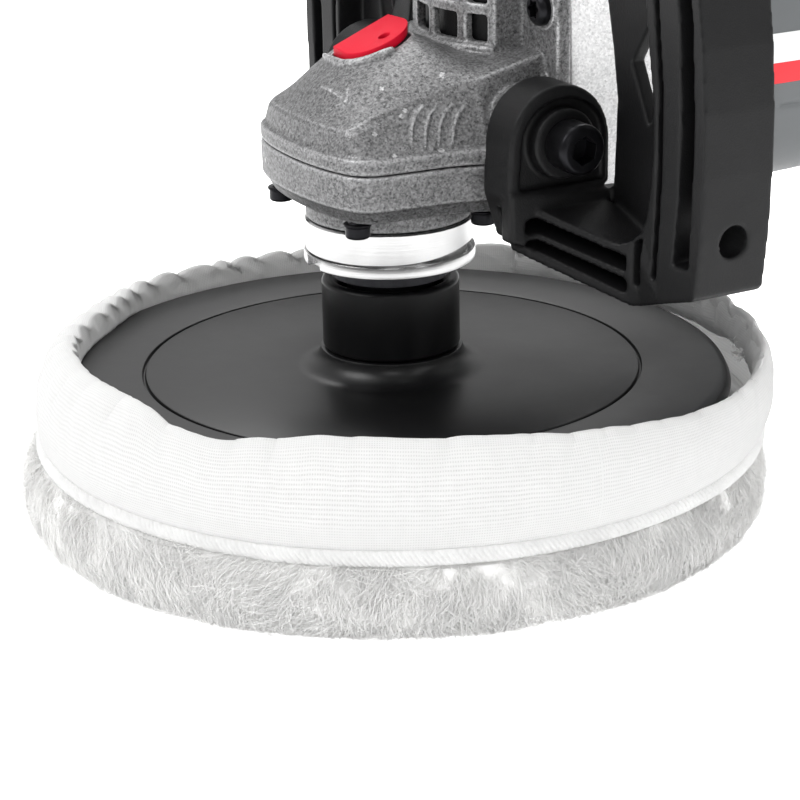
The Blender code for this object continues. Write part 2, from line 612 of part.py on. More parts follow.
def make_controls(mats):
    box("switch_body", (-11, 232, 119), (11, 262, 131), mats["black_plastic"])
    box("speed_control", (-3.6, 280, 112), (12, 290, 122), mats["carbon"])
    hinge = (0, 214, 110)
    outline = [(211, 108), (214, 105.2), (222, 103), (250, 98.5), (255, 100), (257, 106), (256, 111.5), (214, 113)]
    prism("trigger", outline, -8.5, 8.5, "YZ", mats["black_plastic"], hinge)
    rod("lock_on_button", 5, (-21, 226, 122), 16, mats["black_plastic"], 20, (1, 0, 0), (-21, 226, 122))
    tube("speed_dial", 2, 8.6, (-4, 276, 137), 8, mats["black_plastic"], 24, (1, 0, 0), (0, 276, 137))
    profile = [(0, 318), (5.2, 318), (5.2, HANDLE_END + 0.6), (7.5, HANDLE_END + 0.6), (7.5, 336), (3.6, 337),
               (3.6, 322), (0, 322)]
    turned("cable_inlet", profile, mats["black_plastic"], 20, (0, 1, 0), (0, 0, 127))


# ---- Loop handle ----

def front_of(x):
    """Y of the loop handle's front face: set back along the leg, then level on the column."""
    share = min(1.0, max(0.0, (abs(x) - 43) / 31))
    return LEG_FRONT + (COLUMN_FRONT - LEG_FRONT) * share


LOOP_STATIONS = (  # outer and inner point of the right half's cross-sections, from the ear round to the top
    ((44.4, 77.6), (39, 94.8)), ((50, 75.4), (45.1, 91)), ((60, 71.8), (56.4, 86.8)), ((72.2, 67.4), (67.3, 83)),
    ((75.2, 68), (69.6, 82.8)), ((84, 70.9), (72.4, 84)), ((96, 74.5), (75.4, 87)), ((97.5, 76), (77.2, 90.7)),
    ((99.4, 90), (78.7, 98.5)), ((100.2, 105), (79.6, 108)), ((100.2, 120), (79.3, 120)), ((99, 135), (77, 133)),
    ((96.5, 150), (75.6, 143)), ((92, 170), (69, 158)), ((84, 188), (60, 170)), ((72, 199), (48, 178)),
    ((56, 204), (30, 179)), ((-2, LOOP_TOP), (-2, LOOP_TOP - 26)))


def loop_half(side):
    """Half of the loop as a bar of rectangular sections, reaching just past the centre line."""
    sections = []
    for outer, inner in LOOP_STATIONS:
        depths = [front_of(x) if z < 100 else COLUMN_FRONT for x, z in (outer, inner)]
        corners = ((outer, depths[0]), (outer, depths[0] + LOOP_DEPTH), (inner, depths[1] + LOOP_DEPTH),
                   (inner, depths[1]))
        sections.append([(side * x, y, z) for (x, z), y in corners])
    return finish(f"loop_half_{side}", loft_mesh(sections), None)


def sheared_slot(name, corners, side, depth):
    """A pocket in the loop's front: its corners in the front plane, cut to depth behind the front face."""
    front = [(side * x, front_of(x) - 3, z) for x, z in corners]
    back = [(side * x, front_of(x) + depth, z) for x, z in corners]
    return finish(name, loft_mesh([front, back]), None)


LEG_SLOTS = (  # corners in the front plane
    ((42, 89.2), (43.6, 85), (71.5, 75.9), (71.5, 79.6)),
    ((45, 82.8), (46.4, 79.8), (71.2, 70.4), (71.2, 74)))
COLUMN_SLOTS = (
    ((73, 72.8), (75.1, 73.2), (75.9, 85.6), (73, 83.6)),
    ((79.3, 75.8), (81.4, 76.3), (83, 96.5), (83.4, 110), (83.2, 124), (80.6, 146), (78.8, 146),
     (81.3, 124), (81.5, 110), (81, 96.5)),
    ((88, 81.7), (94.6, 82), (95.6, 99), (96, 118), (94.6, 141), (92, 155), (87, 155), (89.6, 141),
     (90.8, 118), (90.2, 99)))


def ear_outline():
    """The ear from the side, from its foot at the leg round its arched top."""
    points = [(35.6, 93), (35.6, BOLT_Z)]
    for i in range(1, 18):
        angle = math.radians(10 * i)
        points.append((BOLT_Y - 0.3 + 14.2 * math.cos(angle), BOLT_Z + 14.4 * math.sin(angle)))
    return points + [(6.9, BOLT_Z), (6.4, 97), (6.2, 92), (10, 80), (16, 78)]


def ear_recess_outline():
    """The sunken face of the ear, leaving a rim that is wide in front and narrow behind."""
    points = [(34.6, 93.4), (34.6, BOLT_Z)]
    for i in range(1, 18):
        angle = math.radians(10 * i)
        points.append((22.5 + 12.1 * math.cos(angle), BOLT_Z + 11 * math.sin(angle)))
    return points + [(10.4, BOLT_Z), (9.8, 97), (9.6, 93.4)]


def make_loop_handle(mats):
    handle = loop_half(1)
    handle.name = "loop_handle"
    handle.data.materials.append(mats["black_plastic"])
    boolean(handle, loop_half(-1), "UNION")
    for side in (1, -1):
        low, high = sorted((side * 37.6, side * 50))
        boolean(handle, prism(f"ear_{side}", ear_outline(), low, high, "YZ"), "UNION")
        web = [(46, 84), (51, 92), (51.6, 101), (52.3, 114), (50.3, 126), (47.5, 138), (50, 150), (70, 165),
               (90, 150), (90, 78), (74, 72), (50, 78)]
        web = [(side * x, z) for x, z in web]
        boolean(handle, prism(f"web_{side}", web, 35.9, 40, "XZ"), "UNION")
        shelf = [(6.4, 81), (6.4, 93.4), (35, 91), (39.6, 91), (39.6, 78), (20, 76)]
        low, high = sorted((side * 46, side * 51))
        boolean(handle, prism(f"shelf_{side}", shelf, low, high, "YZ"), "UNION")
        low, high = sorted((side * 47.8, side * 53))
        boolean(handle, prism(f"ear_recess_{side}", ear_recess_outline(), low, high, "YZ"))
        boss = tube(f"bolt_boss_{side}", 4.6, 8.8, (side * 44, BOLT_Y, BOLT_Z), 8, None, 24, (side, 0, 0))
        boolean(handle, boss, "UNION")
        opening = [(side * x, z) for x, z in ((66.5, 136), (58.6, 124.5), (66.7, 109), (69, 122))]
        boolean(handle, prism(f"web_cutter_{side}", opening, 30, 48, "XZ"))
        bolt_hole = rod(f"bolt_hole_{side}", 4.6, (side * 30, BOLT_Y, BOLT_Z), 30, steps=20, axis=(side, 0, 0))
        boolean(handle, bolt_hole)
        for k, corners in enumerate(LEG_SLOTS + COLUMN_SLOTS):
            boolean(handle, sheared_slot(f"slot_{side}_{k}", corners, side, 9 if corners is COLUMN_SLOTS[-1] else 12))
        recess = rod(f"recess_{side}", 4, (side * 88, 38, 88.5), 20, steps=20, axis=(side, 0, 0))
        boolean(handle, recess)


def make_handle_bolts(mats):
    for side, word in ((1, "right"), (-1, "left")):
        start = (side * (52 + GAP), BOLT_Y, BOLT_Z)
        profile = [(0, 4.5), (3.2, 4.5), (3.2, 8), (5.8, 8), (6.4, 7.4), (6.4, 0), (4, 0), (4, -28), (0, -28)]
        bm = turned_mesh(profile[::-1], 24, (side, 0, 0), start)
        finish(f"handle_bolt_{word}", bm, mats["black_steel"], start)


def make_materials():
    return {
        "wool": material("wool", (0.82, 0.81, 0.78), 0.95),
        "cloth": material("cloth", (0.9, 0.9, 0.89), 0.85),
        "elastic": material("elastic", (0.8, 0.8, 0.78), 0.8),
        "foam": material("foam", (0.25, 0.25, 0.27), 0.95),
        "pad": material("pad", (0.03, 0.03, 0.032), 0.3),
        "hub": material("hub", (0.012, 0.012, 0.013), 0.35),
        "dark_steel": material("dark_steel", (0.06, 0.06, 0.065), 0.4, 0.9),
        "black_steel": material("black_steel", (0.02, 0.02, 0.022), 0.35, 0.8),
        "steel": material("steel", (0.55, 0.56, 0.58), 0.3, 1.0),
        "bright_steel": material("bright_steel", (0.8, 0.8, 0.8), 0.22, 1.0),
        "casting": material("casting", (0.3, 0.3, 0.3), 0.42, 0.7),
        "casting_bright": material("casting_bright", (0.6, 0.6, 0.6), 0.4, 0.7),
        "grey_plastic": material("grey_plastic", (0.3, 0.33, 0.36), 0.4),
        "black_plastic": material("black_plastic", (0.018, 0.018, 0.019), 0.45),
        "red": material("red", (0.75, 0.01, 0.03), 0.35),
        "copper": material("copper", (0.7, 0.35, 0.2), 0.35, 1.0),
        "brass": material("brass", (0.75, 0.6, 0.3), 0.35, 1.0),
        "carbon": material("carbon", (0.03, 0.03, 0.03), 0.8),
    }


def main():
    clear_scene()
    mats = make_materials()
    make_pad(mats)
    make_bonnet(mats)
    make_spindle(mats)
    make_collar(mats)
    make_bearing_box(mats)
    make_box_screws(mats)
    make_gear_housing(mats)
    make_flange_screws(mats)
    make_lock(mats)
    make_countershaft(mats)
    make_armature(mats)
    make_stator(mats)
    make_fan_housing(mats)
    make_motor_housing(mats)
    make_rear_handle(mats)
    make_controls(mats)
    make_loop_handle(mats)
    make_handle_bolts(mats)


main()
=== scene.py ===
"""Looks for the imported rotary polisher: finishes, a cloth bonnet with its wool, and finer pieces.

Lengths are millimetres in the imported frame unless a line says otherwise; meshes are scaled as they are made.
"""

import json
import random
from math import cos, degrees, exp, pi, radians, sin, sqrt, tan

import bmesh
import bpy
import numpy as np
from mathutils import Matrix, Vector, noise


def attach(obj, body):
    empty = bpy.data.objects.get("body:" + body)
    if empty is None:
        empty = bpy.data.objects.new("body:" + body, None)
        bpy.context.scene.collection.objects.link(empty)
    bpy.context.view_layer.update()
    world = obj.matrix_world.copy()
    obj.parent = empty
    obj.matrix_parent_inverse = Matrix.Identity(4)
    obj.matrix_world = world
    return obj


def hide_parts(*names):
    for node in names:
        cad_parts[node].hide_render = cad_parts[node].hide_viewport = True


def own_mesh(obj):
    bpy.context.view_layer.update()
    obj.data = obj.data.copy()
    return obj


MM = 0.001
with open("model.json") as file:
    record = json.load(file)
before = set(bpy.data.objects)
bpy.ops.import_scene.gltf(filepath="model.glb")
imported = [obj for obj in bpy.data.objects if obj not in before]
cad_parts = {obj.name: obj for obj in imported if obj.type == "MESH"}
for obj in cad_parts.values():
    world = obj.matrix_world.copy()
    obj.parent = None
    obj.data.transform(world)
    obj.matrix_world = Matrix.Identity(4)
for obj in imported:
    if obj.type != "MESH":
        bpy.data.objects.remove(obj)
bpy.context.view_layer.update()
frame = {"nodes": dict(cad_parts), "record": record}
nodes = frame["nodes"]
SPIN = "spindle_group"
TOOL = "tool_body"
MOTOR_AXIS = 113.0
SIDES = ((1, "right"), (-1, "left"))


def new_object(name, data):
    obj = bpy.data.objects.new(name, data)
    bpy.context.collection.objects.link(obj)
    return obj


# ---- Camera, light and floor ----

def aim(azimuth, pitch, roll, yaw):
    """The camera's rotation: it looks along +Y at azimuth 0, turned about Z, tipped down by pitch."""
    a, p, t, y = (radians(v) for v in (azimuth, pitch, roll, yaw))
    forward = Vector((sin(y) * cos(p), cos(y) * cos(p), -sin(p)))
    right = Vector((cos(y), -sin(y), 0))
    up = right.cross(forward)
    side = cos(t) * right + sin(t) * up
    top = -sin(t) * right + cos(t) * up
    axes = Matrix((side, top, -forward)).transposed()
    return Matrix.Rotation(a, 3, "Z") @ axes


def make_camera():
    data = bpy.data.cameras.new("camera")
    data.sensor_width = 36
    data.lens = 112.5
    data.clip_start = 0.01
    data.clip_end = 20
    camera = new_object("camera", data)
    place = Matrix.Translation(Vector((555.2, -301.4, 253.9)) * MM)
    camera.matrix_world = place @ aim(61.5, 19.83, -1.12, 0.17).to_4x4()
    bpy.context.scene.camera = camera


def area_light(name, place, width, height, power):
    """A soft light, placed and sized in metres, aimed at the middle of the tool."""
    data = bpy.data.lights.new(name, "AREA")
    data.shape = "RECTANGLE"
    data.size = width
    data.size_y = height
    data.energy = power
    light = new_object(name, data)
    light.location = place
    light.rotation_euler = (Vector((0, 0.02, 0.07)) - Vector(place)).to_track_quat("-Z", "Y").to_euler()


LIGHTS = (("key", (-0.1, -0.95, 1.05), 0.8, 0.6, 7), ("front", (1.15, -0.62, 0.85), 0.5, 0.4, 1.5),
          ("fill", (1.15, 0.5, 0.75), 0.5, 0.8, 3), ("top", (-0.15, 0.1, 1.35), 0.9, 0.9, 5),
          ("back", (-0.66, 0.42, 1.0), 0.9, 0.5, 6))


def make_studio():
    bpy.context.scene.view_settings.view_transform = "Standard"
    make_world()
    for light in LIGHTS:
        area_light(*light)
    bpy.ops.mesh.primitive_plane_add(size=12, location=(0, 0, 0))
    floor = bpy.context.object
    floor.name = "floor"
    g = Graph(principled("floor_white", (0.9, 0.9, 0.9), 0.9, Emission_Color=(1, 1, 1, 1)))
    path = g.node("ShaderNodeLightPath").outputs
    onto_object = g.math("MULTIPLY", path["Is Diffuse Ray"], 0.7)
    to_camera = g.math("MULTIPLY", path["Is Camera Ray"], 0.8)
    g.link(g.math("ADD", onto_object, to_camera), g.shader.inputs["Emission Strength"])
    floor.data.materials.append(g.mat)


def make_world():
    """A white backdrop: bright behind the object as first seen, dimmer on the near side."""
    world = bpy.data.worlds.new("studio")
    world.use_nodes = True
    g = Graph(world)
    back = g.tree.nodes["Background"]
    back.inputs["Color"].default_value = (1, 1, 1, 1)
    towards = g.node("ShaderNodeVectorMath", operation="DOT_PRODUCT")
    g.link(g.node("ShaderNodeTexCoord").outputs["Generated"], towards.inputs[0])
    towards.inputs[1].default_value = (-0.8, 0.45, 0.4)
    spread = g.node("ShaderNodeMapRange", interpolation_type="SMOOTHSTEP",
                    **{"From Min": -0.6, "From Max": 0.85, "To Min": 0.12, "To Max": 0.62})
    g.link(towards.outputs["Value"], spread.inputs["Value"])
    path = g.node("ShaderNodeLightPath").outputs
    soft = g.math("ADD", g.math("MULTIPLY", path["Is Diffuse Ray"], 0.75), spread.outputs["Result"])
    g.link(g.math("MAXIMUM", soft, path["Is Camera Ray"]), back.inputs["Strength"])
    bpy.context.scene.world = world


# ---- Materials ----

def principled(name, colour, roughness, metallic=0.0, **extra):
    mat = bpy.data.materials.new(name)
    mat.use_nodes = True
    shader = mat.node_tree.nodes["Principled BSDF"]
    shader.inputs["Base Color"].default_value = (*colour, 1)
    shader.inputs["Roughness"].default_value = roughness
    shader.inputs["Metallic"].default_value = metallic
    for key, value in extra.items():
        shader.inputs[key.replace("_", " ")].default_value = value
    return mat


class Graph:
    """Short names for adding nodes to one material or world."""

    def __init__(self, mat):
        self.mat = mat
        self.tree = mat.node_tree
        self.shader = self.tree.nodes.get("Principled BSDF")
        self.coords = self.tree.nodes.new("ShaderNodeTexCoord").outputs["Object"]

    def node(self, kind, **values):
        made = self.tree.nodes.new(kind)
        for key, value in values.items():
            if key in made.inputs:
                made.inputs[key].default_value = value
            else:
                setattr(made, key, value)
        return made

    def link(self, a, b):
        self.tree.links.new(a, b)

    def feed(self, sockets, values):
        """Each value is an output to link, a colour or a number."""
        for socket, value in zip(sockets, values):
            if isinstance(value, bpy.types.NodeSocket):
                self.link(value, socket)
            else:
                socket.default_value = (*value, 1) if hasattr(value, "__len__") else value

    def stretched(self, scale):
        mapping = self.node("ShaderNodeMapping", Scale=scale)
        self.link(self.coords, mapping.inputs["Vector"])
        return mapping.outputs["Vector"]

    def noise(self, scale, detail=2.0, rough=0.5, coords=None):
        made = self.node("ShaderNodeTexNoise", Scale=scale, Detail=detail, Roughness=rough)
        self.link(coords or self.coords, made.inputs["Vector"])
        return made.outputs["Fac"]

    def cells(self, scale, output="Color"):
        made = self.node("ShaderNodeTexVoronoi", Scale=scale)
        self.link(self.coords, made.inputs["Vector"])
        return made.outputs[output]

    def ramp(self, source, *stops):
        made = self.node("ShaderNodeValToRGB")
        while len(made.color_ramp.elements) < len(stops):
            made.color_ramp.elements.new(0.5)
        for element, (place, colour) in zip(made.color_ramp.elements, stops):
            element.position = place
            element.color = (*colour, 1) if hasattr(colour, "__len__") else (colour, colour, colour, 1)
        self.link(source, made.inputs["Fac"])
        return made.outputs["Color"]

    def mixed(self, factor, a, b, blend="MIX"):
        made = self.node("ShaderNodeMix", data_type="RGBA", blend_type=blend)
        self.feed([s for s in made.inputs if s.enabled], (factor, a, b))
        return [s for s in made.outputs if s.enabled][0]

    def math(self, operation, a, b=0.5):
        made = self.node("ShaderNodeMath", operation=operation)
        self.feed(made.inputs, (a, b))
        return made.outputs[0]

    def colour(self, source):
        self.link(source, self.shader.inputs["Base Color"])

    def rough(self, source, low, high):
        made = self.node("ShaderNodeMapRange", **{"To Min": low, "To Max": high})
        self.link(source, made.inputs["Value"])
        self.link(made.outputs["Result"], self.shader.inputs["Roughness"])

    def bump(self, source, depth_mm, strength=1.0, below=None):
        made = self.node("ShaderNodeBump", Distance=depth_mm * MM, Strength=strength)
        self.link(source, made.inputs["Height"])
        if below:
            self.link(below, made.inputs["Normal"])
        self.link(made.outputs["Normal"], self.shader.inputs["Normal"])
        return made.outputs["Normal"]

    def translucent(self, share, colour):
        """Lets some light through, as thin cloth and hair do."""
        through = self.node("ShaderNodeBsdfTranslucent", Color=(*colour, 1))
        both = self.node("ShaderNodeMixShader", Fac=share)
        self.link(self.shader.outputs[0], both.inputs[1])
        self.link(through.outputs[0], both.inputs[2])
        self.link(both.outputs[0], self.tree.nodes["Material Output"].inputs["Surface"])

    def round_edges(self, radius_mm):
        return self.node("ShaderNodeBevel", Radius=radius_mm * MM, samples=4).outputs["Normal"]


def casting(name, dark, light, metallic=0.55):
    """Hammertone paint: fine bright and dark flakes, with a painted highlight along the edges."""
    g = Graph(principled(name, light, 0.42, metallic))
    flakes = g.cells(2300)
    middle = tuple(0.5 * (a + b) for a, b in zip(dark, light))
    base = g.ramp(flakes, (0.1, dark), (0.5, middle), (0.92, light))
    cloud = g.noise(1100, 3)
    both = g.mixed(0.4, base, g.ramp(cloud, (0.35, dark), (0.65, light)))
    # Painted highlight: edges found by pointiness take a brighter colour, flecked by the flakes.
    edge = g.ramp(g.node("ShaderNodeNewGeometry").outputs["Pointiness"], (0.503, 0.0), (0.54, 0.9))
    edge_highlight_colour = tuple(min(1.0, 1.9 * c) for c in light)
    g.colour(g.mixed(g.math("MULTIPLY", edge, g.ramp(flakes, (0.2, 0.35), (0.7, 1.0))), both, edge_highlight_colour))
    g.rough(g.noise(900, 2), 0.32, 0.55)
    fine = g.bump(g.noise(1500, 2), 0.12, 0.7, g.round_edges(0.4))
    g.bump(g.noise(240, 3), 0.12, 0.5, fine)
    return g.mat


def moulded(name, colour, roughness, grain=0.05, gloss=0.28):
    """Moulded plastic: a fine spark-eroded grain and slightly uneven gloss."""
    g = Graph(principled(name, colour, roughness, Specular_IOR_Level=gloss))
    g.rough(g.noise(90, 4), roughness - 0.06, roughness + 0.08)
    tint = g.noise(35, 3)
    bright = tuple((1.25 if colour[0] < 0.1 else 1.05) * c for c in colour)
    g.colour(g.ramp(tint, (0.35, colour), (0.7, bright)))
    g.bump(g.noise(2600, 2), grain, 0.6, g.round_edges(0.35))
    return g.mat


def turned_metal(name, colour, roughness, along=(0, 0, 1)):
    """Machined metal with fine rings across its axis."""
    g = Graph(principled(name, colour, roughness, 1.0))
    scale = [4000.0 if a else 25.0 for a in along]
    rings = g.noise(1.0, 3, 0.7, g.stretched(scale))
    g.rough(rings, roughness - 0.08, roughness + 0.12)
    g.colour(g.ramp(g.noise(80, 3), (0.3, tuple(0.86 * c for c in colour)), (0.7, colour)))
    g.bump(rings, 0.02, 0.5, g.round_edges(0.25))
    return g.mat


def dark_metal(name, colour, roughness):
    g = Graph(principled(name, colour, roughness, 0.85))
    g.rough(g.noise(400, 4), roughness - 0.1, roughness + 0.1)
    g.colour(g.ramp(g.noise(150, 4), (0.3, colour), (0.75, tuple(1.6 * c for c in colour))))
    g.bump(g.noise(1800, 2), 0.03, 0.5, g.round_edges(0.25))
    return g.mat


def woven(name, colour, pitch_mm=0.62):
    """Plain-woven cotton: threads both ways with open corners between them, and slubs."""
    g = Graph(principled(name, colour, 0.9, Sheen_Weight=0.3, Sheen_Roughness=0.5))
    uv = g.node("ShaderNodeUVMap").outputs["UV"]
    parts = g.node("ShaderNodeSeparateXYZ")
    g.link(uv, parts.inputs[0])
    turns = pi / (pitch_mm * MM)
    waves = []
    for output in ("X", "Y"):
        wobble = g.math("MULTIPLY", g.noise(120, 2), 1.6)
        phase = g.math("ADD", g.math("MULTIPLY", parts.outputs[output], turns), wobble)
        waves.append(g.math("ABSOLUTE", g.math("SINE", phase)))
    threads = g.math("MAXIMUM", waves[0], waves[1])
    slubs = g.noise(300, 3, 0.6)
    shade = tuple(0.55 * c for c in colour)
    soft = tuple(0.93 * c for c in colour)
    # Painted shade: the gaps between the threads are darker.
    dots = g.ramp(threads, (0.32, shade), (0.75, colour))
    g.colour(g.mixed(0.35, dots, g.ramp(slubs, (0.3, soft), (0.6, colour))))
    low = g.bump(g.noise(700, 2), 0.06, 0.4)
    g.bump(threads, 0.2, 0.8, low)
    g.translucent(0.42, colour)
    return g.mat


def fleece(name, colour):
    g = Graph(principled(name, colour, 0.95, Sheen_Weight=0.5, Sheen_Roughness=0.6))
    shade = tuple(0.88 * c for c in colour)
    g.colour(g.ramp(g.noise(120, 4, 0.6), (0.3, shade), (0.6, colour)))
    g.bump(g.noise(900, 3), 0.4, 0.6)
    g.translucent(0.36, colour)
    return g.mat


def foam(name, colour):
    g = Graph(principled(name, colour, 0.95))
    # Painted shade: the pits of the cells, the foam's pores, are darker.
    g.colour(g.ramp(g.cells(700, output="Distance"), (0.1, tuple(0.4 * c for c in colour)), (0.5, colour)))
    g.bump(g.cells(700, output="Distance"), 0.4)
    return g.mat


def pad_rubber(name):
    """The backing pad: black and satin, with faint moulding marks."""
    g = Graph(principled(name, (0.004, 0.004, 0.0045), 0.3))
    g.rough(g.noise(70, 5, 0.6), 0.3, 0.4)
    g.bump(g.noise(900, 3, 0.6), 0.02, 0.5, g.round_edges(0.3))
    return g.mat


FINISHES = {
    "wool": (fleece, (1.0, 0.998, 0.99)),
    "cloth": (woven, (0.85, 0.85, 0.846)),
    "binding": (fleece, (0.92, 0.92, 0.915)),
    "elastic": (woven, (0.85, 0.85, 0.83)),
    "foam": (foam, (0.22, 0.22, 0.24)),
    "pad": (pad_rubber,),
    "hub": (moulded, (0.004, 0.004, 0.0045), 0.3, 0.03),
    "dark_steel": (dark_metal, (0.045, 0.045, 0.05), 0.38),
    "black_steel": (dark_metal, (0.014, 0.014, 0.016), 0.34),
    "steel": (turned_metal, (0.5, 0.51, 0.53), 0.3, (0, 1, 0)),
    "bright_steel": (turned_metal, (0.76, 0.76, 0.76), 0.2),
    "casting": (casting, (0.05, 0.05, 0.051), (0.33, 0.33, 0.334)),
    # The fan housing: a lighter hammertone, whose base is raised to white as painted light for the strong
    # light it gets from the right.
    "casting_bright": (casting, (0.55, 0.55, 0.555), (1.0, 1.0, 1.0), 0.1),
    "grey_plastic": (moulded, (0.125, 0.132, 0.136), 0.38),
    "black_plastic": (moulded, (0.006, 0.006, 0.0065), 0.43, 0.12),
    "red": (moulded, (0.56, 0.004, 0.022), 0.5, 0.02, 0.12),
    "copper": (turned_metal, (0.7, 0.35, 0.2), 0.3, (0, 1, 0)),
    "brass": (turned_metal, (0.75, 0.6, 0.3), 0.32, (0, 1, 0)),
    "label_white": (moulded, (0.72, 0.73, 0.73), 0.3, 0.01),
    "label_red": (moulded, (0.72, 0.03, 0.04), 0.3, 0.01),
    "carbon": (moulded, (0.025, 0.025, 0.025), 0.7),
}
MATS = {name: make(name, *values) for name, (make, *values) in FINISHES.items()}


def dress(obj, finish, sharp):
    obj.data.materials.clear()
    obj.data.materials.append(MATS[finish])
    obj.data.shade_smooth()
    if sharp:
        obj.data.set_sharp_from_angle(angle=radians(sharp))


def dress_nodes():
    """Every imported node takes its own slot's finish."""
    for part in frame["record"]["subparts"]:
        dress(nodes[part["node"]], part["material_slot"], 30)


# ---- Mesh helpers ----

def finish_piece(obj, finish, body, sharp=35):
    """Gives a piece its finish and body. One that is called NODE_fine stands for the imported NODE."""
    dress(obj, finish, sharp)
    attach(obj, body)
    if obj.name.endswith("_fine"):
        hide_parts(obj.name.removesuffix("_fine"))
    return obj


def add_object(name, bm, finish, body, sharp=35):
    return finish_piece(scratch(bm, name), finish, body, sharp)


def scratch(bm, name="scratch"):
    """A bmesh in millimetres as a plain object in metres."""
    bmesh.ops.recalc_face_normals(bm, faces=bm.faces)
    bm.transform(Matrix.Scale(MM, 4))
    mesh = bpy.data.meshes.new(name)
    bm.to_mesh(mesh)
    bm.free()
    return new_object(name, mesh)


def modify(obj, kind, **values):
    modifier = obj.modifiers.new(kind.lower(), kind)
    for key, value in values.items():
        setattr(modifier, key, value)


def full_turn(steps):
    """The angles that part a circle into equal steps."""
    return [2 * pi * i / steps for i in range(steps)]


def clamp(value):
    return min(1.0, max(0.0, value))


def facing(axis, place):
    """Turns Z onto axis, then moves to place."""
    turn = Vector((0, 0, 1)).rotation_difference(Vector(axis)).to_matrix().to_4x4()
    return Matrix.Translation(Vector(place)) @ turn


def loft(rings, closed=False):
    """Quads through rings with equal counts. The last ring joins the first, or else both ends get a face."""
    bm = bmesh.new()
    made = [[bm.verts.new(p) for p in ring] for ring in rings]
    for low, high in zip(made, made[1:] + (made[:1] if closed else [])):
        for i in range(len(low)):
            j = (i + 1) % len(low)
            bm.faces.new((low[i], low[j], high[j], high[i]))
    if not closed:
        bm.faces.new(made[0][::-1])
        bm.faces.new(made[-1])
    return bm


def soft_profile(points, radius, steps=4):
    """A profile with its inner corners replaced by short curves of about that radius."""
    out = []
    for i, p in enumerate(points):
        if i in (0, len(points) - 1) or p[0] < 1e-6:
            out.append(p)
            continue
        p, a, b = Vector(p), Vector(points[i - 1]), Vector(points[i + 1])
        cut = min(radius, 0.45 * (a - p).length, 0.45 * (b - p).length)
        start, end = p + (a - p).normalized() * cut, p + (b - p).normalized() * cut
        for k in range(steps + 1):
            t = k / steps
            out.append(tuple((1 - t) ** 2 * start + 2 * t * (1 - t) * p + t * t * end))
    return out


def turned(profile, steps=128, axis=(0, 0, 1), centre=(0, 0, 0), shape=None):
    """A closed body of revolution in millimetres. shape(radius, height, angle) may move each point."""
    bm = bmesh.new()
    rings = []
    for radius, height in profile:
        if radius < 1e-6:
            rings.append([bm.verts.new((0, 0, height))])
            continue
        ring = []
        for angle in full_turn(steps):
            r, z = shape(radius, height, angle) if shape else (radius, height)
            ring.append(bm.verts.new((r * cos(angle), r * sin(angle), z)))
        rings.append(ring)
    pairs = list(zip(rings, rings[1:]))
    if profile[0][0] > 0:
        pairs.append((rings[-1], rings[0]))
    for low, high in pairs:
        for i in range(steps):
            j = (i + 1) % steps
            corners = (low[i % len(low)], low[j % len(low)], high[j % len(high)], high[i % len(high)])
            bm.faces.new(dict.fromkeys(corners))
    bm.transform(facing(axis, centre))
    return bm


# ---- Pad and hub ----

PAD_TOP = 37.0
PAD_RADIUS = 90.0


def make_pad():
    top, bottom = PAD_TOP, 29.3
    circle = 66.0
    profile = [(8, bottom), (86, bottom), (89, bottom + 2), (PAD_RADIUS, top - 3.4), (88.8, top - 0.9),
               (87, top), (circle + 0.4, top), (circle + 0.3, top - 1.1), (circle - 0.3, top - 1.1),
               (circle - 0.4, top), (27, top)]
    for i in range(13):
        angle = radians(7.5 * i)
        profile.append((18.9 + 6.5 * (1 - sin(angle)), top + 5.6 * (1 - cos(angle))))
    profile.append((8, top + 5.6))
    bm = turned(soft_profile(profile, 0.5, 2), 256)
    add_object("backing_pad_fine", bm, "pad", SPIN, sharp=18)


def make_hub():
    low, high, r = 42.9, 61.4, 18.2
    profile = [(7.4, low), (r - 0.5, low), (r, low + 0.5), (r, high - 0.7), (r - 0.7, high), (15.6, high),
               (13.8, high - 2.2), (13.8, 53), (7.4, 53)]
    add_object("pad_hub_fine", turned(soft_profile(profile, 0.5, 3), 160), "hub", SPIN)


# ---- Bonnet ----

TO_RIGHT = radians(61.5)  # the side towards which the bonnet sits a little off centre


def ripple(angle, waves, seed):
    """A periodic, irregular wave about zero, from a ring in 3-D noise."""
    r = waves / (2 * pi)
    return noise.noise(Vector((r * cos(angle), r * sin(angle), seed)))


# Radius and height from the seam, over the hem, to its turned-in end
SKIRT_LINE = ((94.6, 22.6), (95.4, 24), (95.9, 26.5), (96.1, 29), (96, 32), (95.6, 35), (94.9, 38),
              (94.1, 40.6), (93.3, 42.7), (92.7, 43.7), (92.2, 44), (91.7, 43.6), (91.3, 42.4), (91, 40.8),
              (90.8, 39), (90.7, 37.2), (90.8, 35.4), (91, 33.6))
# Degrees round the spindle and the hem's height there
HEM_HEIGHTS = ((-180, 43), (-160, 43.5), (-138, 44.5), (-118, 46), (-100, 48), (-86, 48.8), (-72, 49),
               (-65, 47.2), (-57, 46.4), (-47, 48.4), (-39, 49.8), (-22, 49.5), (-13, 48.8), (-2, 47),
               (9, 45.6), (18, 44.2), (30, 42.8), (45, 42.4), (62, 43.2), (95, 44), (140, 42.6), (180, 43))
SKIRT_WIDE, SKIRT_DEEP = 0.616, 0.038  # the flat cut, in metres
FLAP_DEEP = 0.016


def pinches():
    """Angles at which the elastic pinches the hem, 7 to 20 mm apart, each with its strength."""
    rng = random.Random(4)
    angle, found = 0.0, []
    while angle < 2 * pi - 0.07:
        back_left = 0.5 + 0.5 * cos(angle - radians(200))
        found.append((angle, rng.uniform(0.75, 1.45) * (0.8 + 0.9 * back_left ** 2)))
        angle += rng.uniform(0.07, 0.26) * (1 - 0.25 * back_left)
    return found


PINCHES = pinches()


